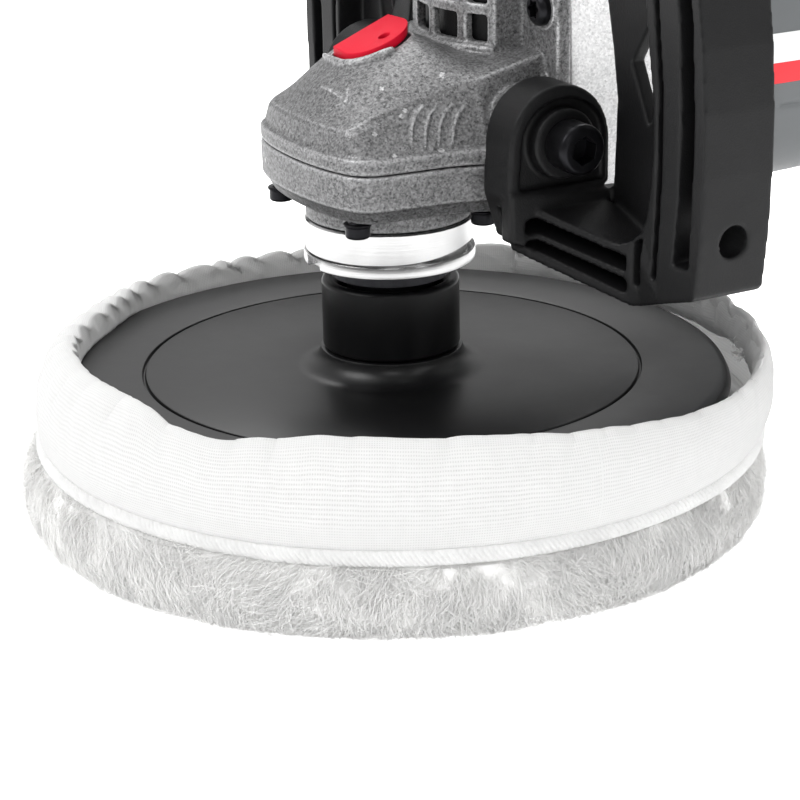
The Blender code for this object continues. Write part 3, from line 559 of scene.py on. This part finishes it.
def puff(angle):
    """(0 at one pinch to 1 at the next, the strength there) on the hem at angle."""
    angle %= 2 * pi
    ring = PINCHES + [(PINCHES[0][0] + 2 * pi, PINCHES[0][1])]
    for (a, one), (b, two) in zip(ring, ring[1:]):
        if a <= angle < b:
            t = (angle - a) / (b - a)
            return t, one + (two - one) * t
    return 0.0, 1.0


def signed_degrees(angle):
    return degrees((angle + pi) % (2 * pi) - pi)


def eased(t):
    return t * t * (3 - 2 * t)


def hem_height(angle):
    at = signed_degrees(angle)
    for (a, low), (b, high) in zip(HEM_HEIGHTS, HEM_HEIGHTS[1:]):
        if a <= at <= b:
            return low + (high - low) * eased((at - a) / (b - a))
    return HEM_HEIGHTS[0][1]


def hem_lean(angle):
    """How far the hem leans in over the pad: only at the front left."""
    at = signed_degrees(angle)
    return 5.6 * eased(clamp((at + 165) / 28) * clamp((-58 - at) / 26))


def bonnet_place(radius, height, angle, slack=1.0):
    """Where a point of the bonnet's section sits: its middle lies a little towards the slack side."""
    right = (0.5 + 0.5 * cos(angle - TO_RIGHT)) ** 1.6
    radius += slack * 1.9 * right
    shift = 1.4 + 2.6 * slack * right
    return Vector((radius * cos(angle) + shift * cos(TO_RIGHT),
                   radius * sin(angle) + shift * sin(TO_RIGHT), height))


def along_line(line, share):
    """(radius, height) at a share of the way along an open line, by its corners."""
    count = len(line) - 1
    k = min(count - 1, int(share * count))
    t = share * count - k
    return [(1 - t) * a + t * b for a, b in zip(line[k], line[k + 1])]


def skirt_point(share, angle):
    """A point of the skirt: share 0 at the seam, 1 at the turned-in end of the hem."""
    radius, height = along_line(SKIRT_LINE, share)
    top, lean = hem_height(angle), hem_lean(angle)
    higher = top - 44
    if height > 29:
        rise = (height - 29) / 15
        height = 29 + rise * (top - 29) if share < 0.6 else height + higher * max(0.0, (height - 37) / 7)
        radius -= 0.2 * max(0.0, higher) * rise + lean * clamp((share - 0.25) / 0.4) ** 1.5
    near_hem = clamp((share - 0.12) / 0.4)
    along, strength = puff(angle + 0.03 * sin(9 * share))
    round_puff = 0.5 - 0.5 * cos(2 * pi * along)
    folded = 2.1 * along ** 0.5 * (1 - along) ** 1.1
    swell = (round_puff + (folded - round_puff) * near_hem - 0.55) * strength
    fade = near_hem ** 1.6 * (1 - 0.75 * max(0.0, share - 0.7) / 0.3)
    radius += fade * 1.05 * swell
    height += fade * (0.95 * swell + 0.5 * ripple(angle, 21, 2.0))
    body = exp(-((share - 0.3) / 0.2) ** 2)
    radius += body * (0.5 * ripple(angle + 0.4 * share, 34, 11.0) + 0.9 * ripple(angle, 9, 5.0))
    crease = noise.noise(Vector((26 * cos(angle), 26 * sin(angle), 9 * share)))
    radius += min(1, 4 * share) * 0.3 * crease
    if share > 0.7:  # the end rests on the pad's rounded rim, or beside it
        radius = max(radius, 90.75 - lean)
        height = max(height, PAD_TOP + 0.35 - 0.35 * max(0.0, radius - 87.3) ** 2)
    return bonnet_place(radius, height, angle, min(1.0, 0.25 + 2.2 * share))


def cloth_mesh(rows, closed, wide, deep):
    """A sheet over rows of points, with its UV map laid out as the flat cloth in metres."""
    bm = bmesh.new()
    uv_layer = bm.loops.layers.uv.new("UVMap")
    made = [[bm.verts.new(p) for p in row] for row in rows]
    around, along = len(rows[0]) - (not closed), len(rows) - 1
    for k in range(along):
        for i in range(around):
            j = (i + 1) % len(rows[0])
            face = bm.faces.new((made[k][i], made[k][j], made[k + 1][j], made[k + 1][i]))
            corners = ((i, k), (i + 1, k), (i + 1, k + 1), (i, k + 1))
            for loop, (u, v) in zip(face.loops, corners):
                loop[uv_layer].uv = (u / around * wide, v / along * deep)
    return bm


def make_skirt():
    around, along = 900, 66
    rows = [[skirt_point(k / along, angle) for angle in full_turn(around)] for k in range(along + 1)]
    bm = cloth_mesh(rows, True, SKIRT_WIDE, SKIRT_DEEP)
    skirt = add_object("bonnet_skirt_cloth", bm, "cloth", SPIN, sharp=None)
    modify(skirt, "SOLIDIFY", thickness=0.5 * MM, offset=0)
    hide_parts("bonnet_skirt")


def make_binding():
    """The seam between skirt and wool: slanting stitches, ridged in the mesh."""
    ridges, per = 420, 8
    around, along = ridges * per, 10
    low, deep = 18.7, 4.6
    rows = []
    for k in range(along + 1):
        t = k / along
        crown = 94.1 + 1.9 * sin(pi * (0.1 + 0.72 * t))
        edge = sin(pi * t) ** 0.5
        row = []
        for i, angle in enumerate(full_turn(around)):
            wave = 0.5 + 0.5 * cos(2 * pi * (i / per + 2.2 * t))
            radius = crown + 0.75 * wave * edge + 0.3 * ripple(angle, 10, 8.0)
            height = low + deep * t + 0.3 * ripple(angle, 14, 6.0)
            row.append(bonnet_place(radius, height, angle, 0.25))
        rows.append(row)
    for t, radius in ((1.0, 93.4), (0.0, 92.4)):
        rows.append([bonnet_place(radius, low + deep * t, angle, 0.25) for angle in full_turn(around)])
    add_object("seam_binding", loft(rows, closed=True), "binding", SPIN, None)


def make_elastic():
    """The elastic cord inside the hem."""
    rings = []
    for angle in full_turn(240):
        top = hem_height(angle)
        centre = 92.6 - 0.2 * max(0.0, top - 44) - 0.84 * hem_lean(angle)
        rings.append([bonnet_place(centre + 0.6 * cos(a), top - 2.6 + 0.6 * sin(a), angle)
                      for a in full_turn(8)])
    add_object("hem_elastic_fine", loft(rings, closed=True), "elastic", SPIN, None)


def make_hem_flap():
    """A slack fold of cloth inside the hem, lying down to the pad's edge."""
    around, along = 260, 30
    start, end = TO_RIGHT - radians(22), TO_RIGHT + radians(68)
    line = ((92.6, 42.6), (91.6, 41.6), (90.6, 39.8), (90.0, 37.4), (89.9, 35), (90.3, 33), (91.2, 34.6),
            (91.6, 37))
    rows = []
    for k in range(along + 1):
        mean_radius, mean_height = along_line(line, k / along)
        row = []
        for i in range(around + 1):
            angle = start + (end - start) * i / around
            p = Vector((9 * cos(angle), 9 * sin(angle), 1.2 * k / along))
            radius = mean_radius + noise.noise(p * 1.6) + 0.35 * noise.noise(p * 4.1)
            height = mean_height + noise.noise(p * 1.4 + Vector((9, 0, 0)))
            row.append(bonnet_place(radius, height, angle))
        rows.append(row)
    long = (end - start) * 0.093
    flap = add_object("hem_flap", cloth_mesh(rows, False, long, FLAP_DEEP), "cloth", SPIN, sharp=None)
    modify(flap, "SOLIDIFY", thickness=0.4 * MM, offset=0)


def make_frayed_threads():
    """Loose thread ends hanging from the turned-in hem."""
    rng = np.random.default_rng(3)
    count, points = 16, 7
    angle = TO_RIGHT + rng.normal(0.0, 0.03, count)
    paths = np.zeros((count, points, 3))
    for k in range(points):
        t = k / (points - 1)
        radius = 93.4 - 3.0 * t * rng.uniform(0.5, 1.2, count) + 0.25 * rng.normal(size=count)
        turn = angle + 0.02 * t * rng.normal(size=count)
        height = 38.6 - 1.2 * t + 0.25 * rng.normal(size=count)
        paths[:, k] = np.stack([radius * np.cos(turn), radius * np.sin(turn), height], -1)
    add_strands("frayed_threads", paths, np.full((count, points), 0.1))


def add_strands(name, paths, radii):
    """Closed three-sided strands that end in a tip: paths is strands x points x 3, radii strands x points."""
    strands, points, _ = paths.shape
    ahead = np.gradient(paths, axis=1)
    ahead /= np.linalg.norm(ahead, axis=2, keepdims=True) + 1e-12
    other = np.zeros_like(ahead)
    other[..., 2] = 1
    other[np.abs(ahead[..., 2]) > 0.9] = (1, 0, 0)
    u = np.cross(ahead, other)
    u /= np.linalg.norm(u, axis=2, keepdims=True) + 1e-12
    v = np.cross(ahead, u)
    turn = 2 * np.pi * np.arange(3)[None, None, :, None] / 3
    ring = np.cos(turn) * u[:, :-1, None] + np.sin(turn) * v[:, :-1, None]
    body = paths[:, :-1, None] + radii[:, :-1, None, None] * ring
    verts = np.concatenate([body.reshape(strands, -1, 3), paths[:, -1:]], axis=1)
    per, last = verts.shape[1], 3 * (points - 2)
    one = []
    for k in range(points - 2):
        for s in range(3):
            a, b = 3 * k + s, 3 * k + (s + 1) % 3
            one += [(a, b, b + 3), (a, b + 3, a + 3)]
    one += [(last + s, last + (s + 1) % 3, per - 1) for s in range(3)] + [(0, 2, 1)]
    faces = (np.array(one)[None] + per * np.arange(strands)[:, None, None]).reshape(-1, 3)
    mesh = bpy.data.meshes.new(name)
    mesh.vertices.add(strands * per)
    mesh.vertices.foreach_set("co", (verts * MM).astype(np.float32).ravel())
    mesh.loops.add(faces.size)
    mesh.loops.foreach_set("vertex_index", faces.astype(np.int32).ravel())
    mesh.polygons.add(len(faces))
    mesh.polygons.foreach_set("loop_start", np.arange(0, faces.size, 3, dtype=np.int32))
    mesh.update(calc_edges=True)
    mesh.validate()
    finish_piece(new_object(name, mesh), "wool", SPIN, None)


def make_wool_base():
    profile = [(0, 1.0), (40, 1.0), (70, 1.0), (84, 1.0), (91, 1.2), (95.5, 2.2), (97.6, 4.6), (98.2, 7.5),
               (97.9, 11), (97, 14.5), (95.8, 17.4), (94.2, 18.9), (89, 19.2), (88.4, 11), (0, 10.7)]

    def lumps(radius, height, angle):
        p = Vector((radius * cos(angle), radius * sin(angle), height))
        if height > 18 or (height > 10 and radius < 89):
            return radius, height
        tuft = 1.5 * noise.noise(p * 0.07) + 0.9 * noise.noise(p * 0.16) + 0.5 * noise.noise(p * 0.4)
        if radius < 90:
            return radius, max(0.25, height + 0.9 * tuft)
        return radius + 1.1 * tuft - 0.6, max(0.25, height + 0.5 * tuft)

    bm = turned(soft_profile(profile, 2.0, 5), 720, shape=lumps)
    base = add_object("wool_pile_base", bm, "wool", SPIN, sharp=None)
    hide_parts("wool_pile")


def pile_point(level, angle, lift):
    """A point over the wool's flank: level 0 at the bottom edge, 1 under the seam."""
    level = np.clip(level, -0.25, 1.06)
    z = 1.0 + 18 * np.maximum(level, 0)
    bulge = np.sin(np.pi * np.clip(0.1 + 0.72 * (1 - level), 0, 1))
    radius = 93.6 + 4.6 * bulge ** 0.8 + np.minimum(level, 0) * 26 + lift
    return np.stack([radius * np.cos(angle), radius * np.sin(angle), np.maximum(z, 0.25)], -1)


def make_wool_fibres():
    """Crimped fibre over the flank, in locks that swirl both ways, mostly combed down."""
    rng = np.random.default_rng(7)
    locks, per_lock, points = 4200, 9, 6
    count = locks * per_lock
    lock_angle = rng.uniform(0, 2 * np.pi, locks)
    lock_level = rng.uniform(-0.1, 1.05, locks)
    sweep = 0.55 * np.sin(5 * lock_angle + 2.0) + 0.5 * np.sin(13 * lock_angle + 4 * lock_level)
    sweep += rng.normal(0, 0.55, locks)
    angle = np.repeat(lock_angle, per_lock) + rng.normal(0, 0.022, count)
    level = np.repeat(lock_level, per_lock) + rng.normal(0, 0.06, count)
    lean = np.repeat(sweep, per_lock) + rng.normal(0, 0.22, count)
    length = np.repeat(rng.uniform(6, 12, locks), per_lock) * rng.uniform(0.7, 1.15, count)
    height = np.repeat(rng.uniform(0.2, 2.3, locks), per_lock) * rng.uniform(0.5, 1.2, count)
    phase = rng.uniform(0, 2 * np.pi, count)
    crimp = rng.uniform(0.15, 0.45, count)
    paths = np.zeros((count, points, 3))
    for k in range(points):
        t = k / (points - 1)
        down = length * np.cos(lean) * t
        side = length * np.sin(lean) * t + crimp * np.sin(phase + 6.5 * t)
        lift = -0.25 + height * np.sin(2.4 * t) + 0.15 * np.sin(2 * phase + 5 * t)
        paths[:, k] = pile_point(level - down / 17.2, angle + side / 97, lift)
    radii = np.linspace(0.07, 0.03, points)[None] * rng.uniform(0.8, 1.25, count)[:, None]
    add_strands("wool_fibres", paths, radii)


# ---- Gear head ----

PLAN = ((0, -28.3), (8, -28), (16, -27), (22.5, -25.3), (25.6, -23.9), (28, -21.6), (29.4, -18.3), (30, -13),
        (30.5, -7.6), (31.2, 0.6), (33.2, 8), (34.6, 12), (35.2, 29.5))
EAVE = ((0, -26), (7, -25.8), (14, -25), (19, -23.9), (21.2, -23.2), (22.3, -21), (22.7, -17.5), (23.4, -13),
        (24.4, -7.6), (26.4, 0.6), (28.4, 8), (29.4, 12), (31, 29.5))
SEAM, LEDGE = 97.0, 101.0
FLANGE_Y = 32.5


def smooth_line(points, per=6):
    """A Catmull-Rom curve through an open list of points."""
    pts = [Vector(p) for p in points]
    out = []
    for i in range(len(pts) - 1):
        a, b, c, d = pts[max(i - 1, 0)], pts[i], pts[i + 1], pts[min(i + 2, len(pts) - 1)]
        for k in range(per):
            t = k / per
            bend, twist = 2 * a - 5 * b + 4 * c - d, 3 * b - a - 3 * c + d
            out.append(0.5 * (2 * b + (c - a) * t + bend * t ** 2 + twist * t ** 3))
    return out + [pts[-1]]


def inset(half, amount):
    """A half outline moved inwards; its first point stays on the centre line."""
    moved = []
    for i, p in enumerate(half):
        before = half[i - 1] if i else Vector((-half[1].x, half[1].y))
        along = (half[min(i + 1, len(half) - 1)] - before).normalized()
        moved.append(Vector((p.x - amount * along.y if i else 0, p.y + amount * along.x)))
    return moved


def whole(half):
    return list(half) + [Vector((-p[0], *p[1:])) for p in reversed(half) if p[0] > 1e-6]


def eave_height(y):
    t = max(0.0, y + 23.4)
    return 107.2 + 0.35 * t - 0.0012 * t * t


def roof_height(x, y):
    """A straight slope behind the nose, almost level in the middle, lower again at the cage."""
    behind = max(0.0, y + 26.1 - 0.006 * x * x)
    rise = 13.0 * (1 - exp(-(behind / 9.4) ** 1.4))
    rise *= 1 - 0.5 * eased(clamp((y - 2) / 14))
    rise = max(min(rise, 2.5), rise - 0.08 * max(0.0, y + 23.4))
    half_width = 21.5 + 0.2 * max(0.0, y + 23.4)
    return eave_height(y) + rise * (1 - min(1.0, abs(x) / half_width) ** 2.3)


def wall_point(side, y, z):
    """A point just outside the head's side wall, between its ledge and its eave."""
    low, high = (np.interp(y, [p[1] for p in line], [p[0] for p in line]) for line in (PLAN, EAVE))
    t = (z - LEDGE - 0.7) / (eave_height(y) - LEDGE - 0.7)
    return side * (low - 1.25 + (high - low + 1.25) * t - 0.1), y, z


WALL_RIBS = ((-8.8, 102.6), (-7.9, 106.8), (-6.2, 110.2), (-3.6, 112.4))
GUSSET = ((20.7, 29.6, 121), (27, 29, 119.5), (32, 28.6, 114.8), (35.2, 28.2, 109))
ARROW = (((1, -19.4), (6, -19.2), (13.4, -18.6)), ((10.6, -16.9), (13.4, -18.6), (11, -20.6)))


def head_rings():
    plan = smooth_line(PLAN)
    eave = smooth_line(EAVE)
    rings = []
    for z, inward in ((SEAM, 0.45), (SEAM + 0.35, 0.05), (LEDGE - 0.5, 0), (LEDGE, 0.3), (LEDGE + 0.3, 1.0)):
        rings.append([Vector((*p, z)) for p in inset(plan, inward)])
    foot = [Vector((*p, LEDGE + 0.7)) for p in inset(plan, 1.25)]
    top = [Vector((*p, eave_height(p.y))) for p in eave]
    rings += [[a.lerp(b, share) for a, b in zip(foot, top)] for share in (0, 0.3, 0.6, 0.82)]
    rings.append([a.lerp(b, 0.97) for a, b in zip(foot, inset_heights(top, 0.4))])
    for share in (0.975, 0.93, 0.86, 0.78, 0.7, 0.6, 0.5, 0.4, 0.3, 0.2, 0.1, 0.02):
        ring = []
        for p in eave:
            spine = min(max(p.y, -12.0), 14.0)
            x, y = share * p.x, spine + share * (p.y - spine)
            ring.append(Vector((x, y, roof_height(x, y))))
        rings.append(ring)
    return [whole(ring) for ring in rings]


def inset_heights(ring, amount):
    flat = inset([Vector((p.x, p.y)) for p in ring], amount)
    return [Vector((q.x, q.y, p.z - 0.1)) for p, q in zip(ring, flat)]


def bar_mesh(points, radius):
    """A closed round bar through points, in millimetres."""
    pts = [Vector(p) for p in points]
    last = len(pts) - 1
    rings = []
    for i, p in enumerate(pts):
        ahead = (pts[min(i + 1, last)] - pts[max(i - 1, 0)]).normalized()
        u = ahead.cross(Vector((0.13, 0.21, 1))).normalized()
        v = ahead.cross(u)
        r = radius * (0.55 if i in (0, last) else 1)
        rings.append([p + r * (cos(a) * u + sin(a) * v) for a in full_turn(8)])
    return loft(rings)


def plate(outline, low, high, plane, name="scratch"):
    """An outline in the XY, XZ or YZ plane, extruded along the third axis."""
    def point(p, w):
        return {"XY": (p[0], p[1], w), "XZ": (p[0], w, p[1]), "YZ": (w, p[0], p[1])}[plane]
    return scratch(loft([[point(p, w) for p in outline] for w in (low, high)]), name)


def rounded(x0, y0, x1, y1, radius, steps=6):
    points = []
    for x, y, turn in ((x1, y1, 0), (x0, y1, 90), (x0, y0, 180), (x1, y0, 270)):
        cx = x - radius if x == x1 else x + radius
        cy = y - radius if y == y1 else y + radius
        for i in range(steps + 1):
            angle = radians(turn + 90 * i / steps)
            points.append((cx + radius * cos(angle), cy + radius * sin(angle)))
    return points


def combine(base, others):
    """Cuts each scratch object out of base, then removes it."""
    for other in others:
        modify(base, "BOOLEAN", operation="DIFFERENCE", solver="EXACT", object=other)
    bake(base)
    for other in others:
        bpy.data.objects.remove(other)


def bake(obj):
    """Replaces the object's mesh with its evaluated one and drops its modifiers."""
    graph = bpy.context.evaluated_depsgraph_get()
    graph.update()
    mesh = bpy.data.meshes.new_from_object(obj.evaluated_get(graph))
    obj.modifiers.clear()
    obj.data = mesh


def cast_piece(name, parts, smoothing):
    """Overlapping closed scratch objects become one skin with small fillets, as a casting has."""
    bm = bmesh.new()
    for part in parts:
        bm.from_mesh(part.data)
        bpy.data.objects.remove(part)
    mesh = bpy.data.meshes.new(name)
    bm.to_mesh(mesh)
    bm.free()
    obj = new_object(name, mesh)
    soften(obj, 0.4, smoothing)
    bake(obj)
    finish_piece(obj, "casting", TOOL, sharp=None)


def soften(obj, voxel, smoothing):
    """Voxel remesh and smoothing, which round every edge a little."""
    modify(obj, "REMESH", mode="VOXEL", voxel_size=voxel * MM, use_smooth_shade=True)
    modify(obj, "SMOOTH", factor=0.5, iterations=smoothing)


CAGE_WINDOWS = ((-18.6, -13), (-10.4, -1.1), (1.1, 10.4), (13, 18.6))


def cage_line(gap, steps=24):
    half = 20.5 - gap
    points = [(-half, FLANGE_Y - 1)]
    for i in range(steps + 1):
        x = -half + 2 * half * i / steps
        points.append((x, 13.2 + gap + 7 * (x / 20.5) ** 2))
    return points + [(half, FLANGE_Y - 1)]


def make_cage():
    cage = plate(cage_line(0), 110, 149, "XY")
    cutters = [plate(cage_line(2.4), 122.8, 145.5, "XY")]
    cutters.append(plate(rounded(-18, 122.9, 18, 145, 3), 20, 38, "XZ"))
    for low, high in CAGE_WINDOWS:
        for z in (124.2, 133.9):
            cutters.append(plate(rounded(low, z, high, z + 6.9, 0.9, 3), 8, 26.5, "XZ"))
    combine(cage, cutters)
    return cage


def make_cage_shade_lining():
    """A black band just inside the vent cage: painted shade for the shaded inside seen through its windows."""
    duct = plate(cage_line(3.4), 122.9, 145.4, "XY", "cage_shade_lining")
    combine(duct, [plate(cage_line(5.2), 124, 144, "XY")])
    finish_piece(duct, "black_plastic", TOOL)


def make_gear_head():
    head = scratch(loft(head_rings()))
    combine(head, [scratch(button_mesh(-8.4, 6.0, 0.8))])
    flange = plate(rounded(-37, 75, 37, 151, 14, 10), FLANGE_Y - 4, FLANGE_Y, "XZ")
    screws = [scratch(turned([(0, 0), (5.6, 0), (6.2, 3), (0, 3)], 32, (0, 1, 0), (x, FLANGE_Y - 4.9, z)))
              for x, z in FLANGE_SCREWS[:2]]
    block = plate(rounded(-26, 78, 26, 122, 8), 22.6, FLANGE_Y - 1, "XZ")
    parts = [head, make_cage(), flange, block] + screws
    bars = []
    for side in (-1, 1):
        low, high = sorted((side * 26, side * 37.3))
        arch = [(19.7 + 7.7 * cos(a), 108 + 7.7 * sin(a))
                for a in (radians(10 * k) for k in range(19))]
        parts.append(plate([(12, SEAM), (27.4, SEAM)] + arch, low, high, "YZ"))
        for move in (0, 3.6, 7.2, 10.8):
            bars.append(([wall_point(side, y + move, z) for y, z in WALL_RIBS], 0.62))
        bars.append(([(side * x, y, z) for x, y, z in GUSSET], 2.2))
    bars.append(([(x, y - 0.2, 122.4) for x, y in cage_line(0)[1:-1]], 1.3))
    bars.append(([(*p, button_height(p[1]) - 1.1) for p in button_outline(1.9)[1:9]], 1.3))
    bars += [([(x, y, roof_height(x, y) + 0.15) for x, y in line], 0.55) for line in ARROW]
    parts += [scratch(bar_mesh(*bar)) for bar in bars]
    cast_piece("gear_housing_fine", parts, 5)


BUTTON_CENTRE = (0.4, -2.8, 125.3)
BUTTON_SLOPE = tan(radians(22))


def button_height(y):
    return BUTTON_CENTRE[2] + BUTTON_SLOPE * (y - BUTTON_CENTRE[1])


def button_outline(grow, steps=12):
    """The D plan about the button's centre, from its flat -X side round the front to the rear."""
    points = [(-7.6 - grow, 7.6 + grow), (-7.6 - grow, -8.5 - grow)]
    for i in range(steps + 1):
        angle = radians(-90 + 180 * i / steps)
        points.append(((8.3 + grow) * cos(angle), (8.6 + grow) * sin(angle) - 0.6))
    return [(x + BUTTON_CENTRE[0], y + BUTTON_CENTRE[1]) for x, y in points]


def button_mesh(low, high, grow):
    outline = button_outline(grow, 24)
    return loft([[(x, y, button_height(y) + offset) for x, y in outline] for offset in (low, high)])


def make_button():
    button = scratch(button_mesh(-1.9, 0.5, 0), "lock_button_fine")
    hole = turned([(0, 110), (1.5, 110), (1.5, 126), (2.0, 140), (0, 140)], 24, centre=(3.8, -2.4, 0))
    combine(button, [scratch(hole)])
    modify(button, "BEVEL", width=0.7 * MM, segments=3, limit_method="ANGLE", angle_limit=radians(40))
    bake(button)
    finish_piece(button, "red", "lock_group")


def make_spring():
    """The coil under the button."""
    low, high, steps, per = 112.8, 117.8, 48, 16
    points = []
    for k in range(steps + 1):
        angle = 2 * pi * k / per
        points.append((2.7 * cos(angle), 2.7 * sin(angle) - 8.8, low + (high - low) * k / steps))
    spring = add_object("lock_spring_fine", bar_mesh(points, 0.3), "steel", TOOL)
    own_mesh(spring)


def make_bearing_box():
    plan = smooth_line(PLAN[:-1] + ((35, 22.2),))
    rings = []
    for z, inward in ((84, 3.4), (84.3, 2.6), (87.3, 0.9), (87.9, 0.15), (95.9, 0), (96.4, 0.1), (96.7, 0.5)):
        rings.append(whole([Vector((*p, z)) for p in inset(plan, inward)]))
    box = scratch(loft(rings))
    neck = [(0, 66.9), (17, 66.9), (17, 78.6), (21.8, 78.6), (21.8, 86), (0, 86)]
    cast_piece("bearing_box_fine", [box, scratch(turned(soft_profile(neck, 0.5), 96))], 3)


def make_collar():
    """The guard collar: a bright ring over a lip, parted by a groove that opens towards the right."""
    inner, outer, lip = 17.4, 22.1, 22.5
    profile = [(inner, 66.5), (lip - 0.3, 66.5), (lip, 66.8), (lip, 69.5), (lip - 0.1, 69.7), (20.3, 69.7),
               (20.3, 70.0), (outer - 0.2, 70.0), (outer, 70.2), (outer, 77.9), (outer - 0.4, 78.3),
               (inner, 78.3)]

    def opening(radius, height, angle):
        if 69.9 < height < 70.3:
            swing = 0.5 + 0.5 * cos(angle - radians(48))
            return radius, height + 2.2 * swing ** 7
        return radius, height

    collar = scratch(turned(profile, 192, shape=opening), "guard_collar_fine")
    combine(collar, [plate([(-4.2, -24), (3.0, -24), (3.0, -20.4), (-4.2, -20.4)], 66.0, 69.5, "XY")])
    finish_piece(collar, "bright_steel", TOOL)


# ---- Fasteners ----

FLANGE_SCREWS = ((31, 134), (-31, 134), (31, 79.5), (-31, 79.5))
BOX_SCREWS = ((21.4, -20.6), (-21.4, -20.6), (27.2, 12.5), (-27.2, 12.5))


def star(radius):
    """A six-lobed socket's outline."""
    outline = []
    for angle in full_turn(48):
        r = radius * (0.86 + 0.14 * cos(6 * angle))
        outline.append((r * cos(angle), r * sin(angle)))
    return outline


def hexagon(across):
    r = across / sqrt(3)
    return [(r * cos(radians(60 * i + 10)), r * sin(radians(60 * i + 10))) for i in range(6)]


def make_fastener(name, profile, socket, depth, axis, place):
    """A turned screw along axis with its socket cut into the end at the profile's start."""
    screw = scratch(turned(soft_profile(profile, 0.5, 3), 48), name + "_fine")
    low = profile[0][1]
    combine(screw, [plate(socket, low - 1, low + depth, "XY")])
    screw.data.transform(facing(axis, Vector(place) * MM))
    finish_piece(screw, "black_steel", TOOL)


def make_fasteners():
    flange = [(0, -3.2), (3.2, -3.2), (4.4, -2.0), (4.4, 0), (2.4, 0), (2.4, 13.5), (0, 13.5)]
    for i, (x, z) in enumerate(FLANGE_SCREWS):
        place = (x, FLANGE_Y - 4.3, z)
        make_fastener(f"flange_screw_{i + 1}", flange, star(2.5), 2.0, (0, 1, 0), place)
    pan = [(0, 79.9), (2.8, 79.9), (3.2, 80.4), (3.2, 83.0), (3.6, 83.1), (3.6, 83.7), (2.2, 83.7),
           (2.2, 103.5), (0, 103.5)]
    for i, (x, y) in enumerate(BOX_SCREWS):
        make_fastener(f"bearing_box_screw_{i + 1}", pan, star(2.2), 1.8, (0, 0, 1), (x, y, 0))
    bolt = [(0, -8), (5.4, -8), (6.4, -7), (6.4, 0), (4, 0), (4, 28), (0, 28)]
    for side, word in SIDES:
        place = (side * 52.3, 21.5, 104.5)
        make_fastener(f"handle_bolt_{word}", bolt, hexagon(6.4), 4.5, (-side, 0, 0), place)


# ---- Motor end ----

def casing_ring(y, half, squareness):
    ring = []
    for angle in full_turn(96):
        c, s = cos(angle), sin(angle)
        radius = half / (abs(c) ** squareness + abs(s) ** squareness) ** (1 / squareness)
        ring.append((radius * c, y, MOTOR_AXIS + radius * s))
    return ring


def make_fan_housing():
    shape = [(FLANGE_Y + 0.3, 36.4, 5), (FLANGE_Y + 0.9, 37, 5), (38, 37.2, 4.2), (46, 38.6, 3),
             (56, 39.8, 2.3), (69.4, 40, 2), (70, 39.5, 2)]
    case = loft([casing_ring(*values) for values in smooth_line(shape, 5)])
    add_object("fan_housing_fine", case, "casting_bright", TOOL)


def motor_vents():
    """Cutters for two rows of cooling slots near the rear of the motor casing, on each side."""
    bm = bmesh.new()
    for side, _ in SIDES:
        for i in range(7):
            angle = radians(-45 + 15 * i)
            for low, high in ((152, 163), (166, 177)):
                if i == 3 and low == 152:
                    continue
                made = bmesh.ops.create_cube(bm, size=1)["verts"]
                bmesh.ops.scale(bm, vec=(9, high - low, 2.2), verts=made)
                bmesh.ops.translate(bm, vec=(37.5, (low + high) / 2, 0), verts=made)
                bmesh.ops.rotate(bm, cent=(0, 0, 0), matrix=Matrix.Rotation(-angle, 3, "Y"), verts=made)
                bmesh.ops.scale(bm, vec=(side, 1, 1), verts=made)
                bmesh.ops.translate(bm, vec=(0, 0, MOTOR_AXIS), verts=made)
    bmesh.ops.recalc_face_normals(bm, faces=bm.faces)
    return scratch(bm)


def make_motor():
    """The grey motor casing with a shallow groove along each side, and two plain label bands."""
    profile = [(36, 70.3), (39.6, 70.3), (40, 70.8), (40, 98), (39.9, 104), (39.3, 122), (38.6, 145),
               (37.8, 166), (36.4, 180), (34.6, 185), (32.5, 186), (5.6, 186), (5.6, 176), (36, 170)]

    def grooved(radius, height, angle):
        if radius < 37 or not 74 < height < 180:
            return radius, height
        depth = 0.0
        for centre in (-17, 197):
            depth += 0.7 * exp(-(signed_degrees(angle - radians(centre)) / 1.2) ** 2)
        return radius - depth, height

    bm = turned(soft_profile(profile, 0.8, 3), 360, shape=grooved)
    bm.transform(Matrix.Translation((0, 0, MOTOR_AXIS)) @ Matrix.Rotation(radians(90), 4, "X")
                 @ Matrix.Scale(-1, 4, (0, 0, 1)))
    case = scratch(bm, "motor_housing_fine")
    cuts = [scratch(turned([(0, 33), (7.3, 33), (7.3, 50), (0, 50)], 40, (side, 0, 0), (0, 144, MOTOR_AXIS)))
            for side, _ in SIDES]
    combine(case, cuts + [motor_vents()])
    finish_piece(case, "grey_plastic", TOOL)
    for side, word in SIDES:
        for low, high, key, tint in ((1.0, 12.0, "label_white", "white"), (-7.0, 1.0, "label_red", "red")):
            rings = []
            for y in [73 + 2.0 * k for k in range(30)]:
                r = 40.0 if y < 98 else 40.0 - 0.028 * (y - 98) - 0.0001 * (y - 98) ** 2
                outer = [(r + 0.12, radians(low + (high - low) * k / 8)) for k in range(9)]
                inner = [(r - 0.5, a) for _, a in reversed(outer)]
                rings.append([(side * q * cos(a), y, MOTOR_AXIS + q * sin(a)) for q, a in outer + inner])
            add_object(f"band_{tint}_{word}", loft(rings), key, TOOL)


# ---- Assembly ----

def main():
    for step in (make_camera, make_studio, dress_nodes, make_pad, make_hub, make_wool_base, make_skirt,
                 make_binding, make_elastic, make_hem_flap, make_frayed_threads, make_wool_fibres,
                 make_gear_head, make_cage_shade_lining, make_bearing_box, make_button, make_spring, make_collar,
                 make_fasteners, make_fan_housing, make_motor):
        step()
    for name in ("loop_handle", "rear_handle_right", "rear_handle_left"):
        soften(nodes[name], 0.55, 3)


main()
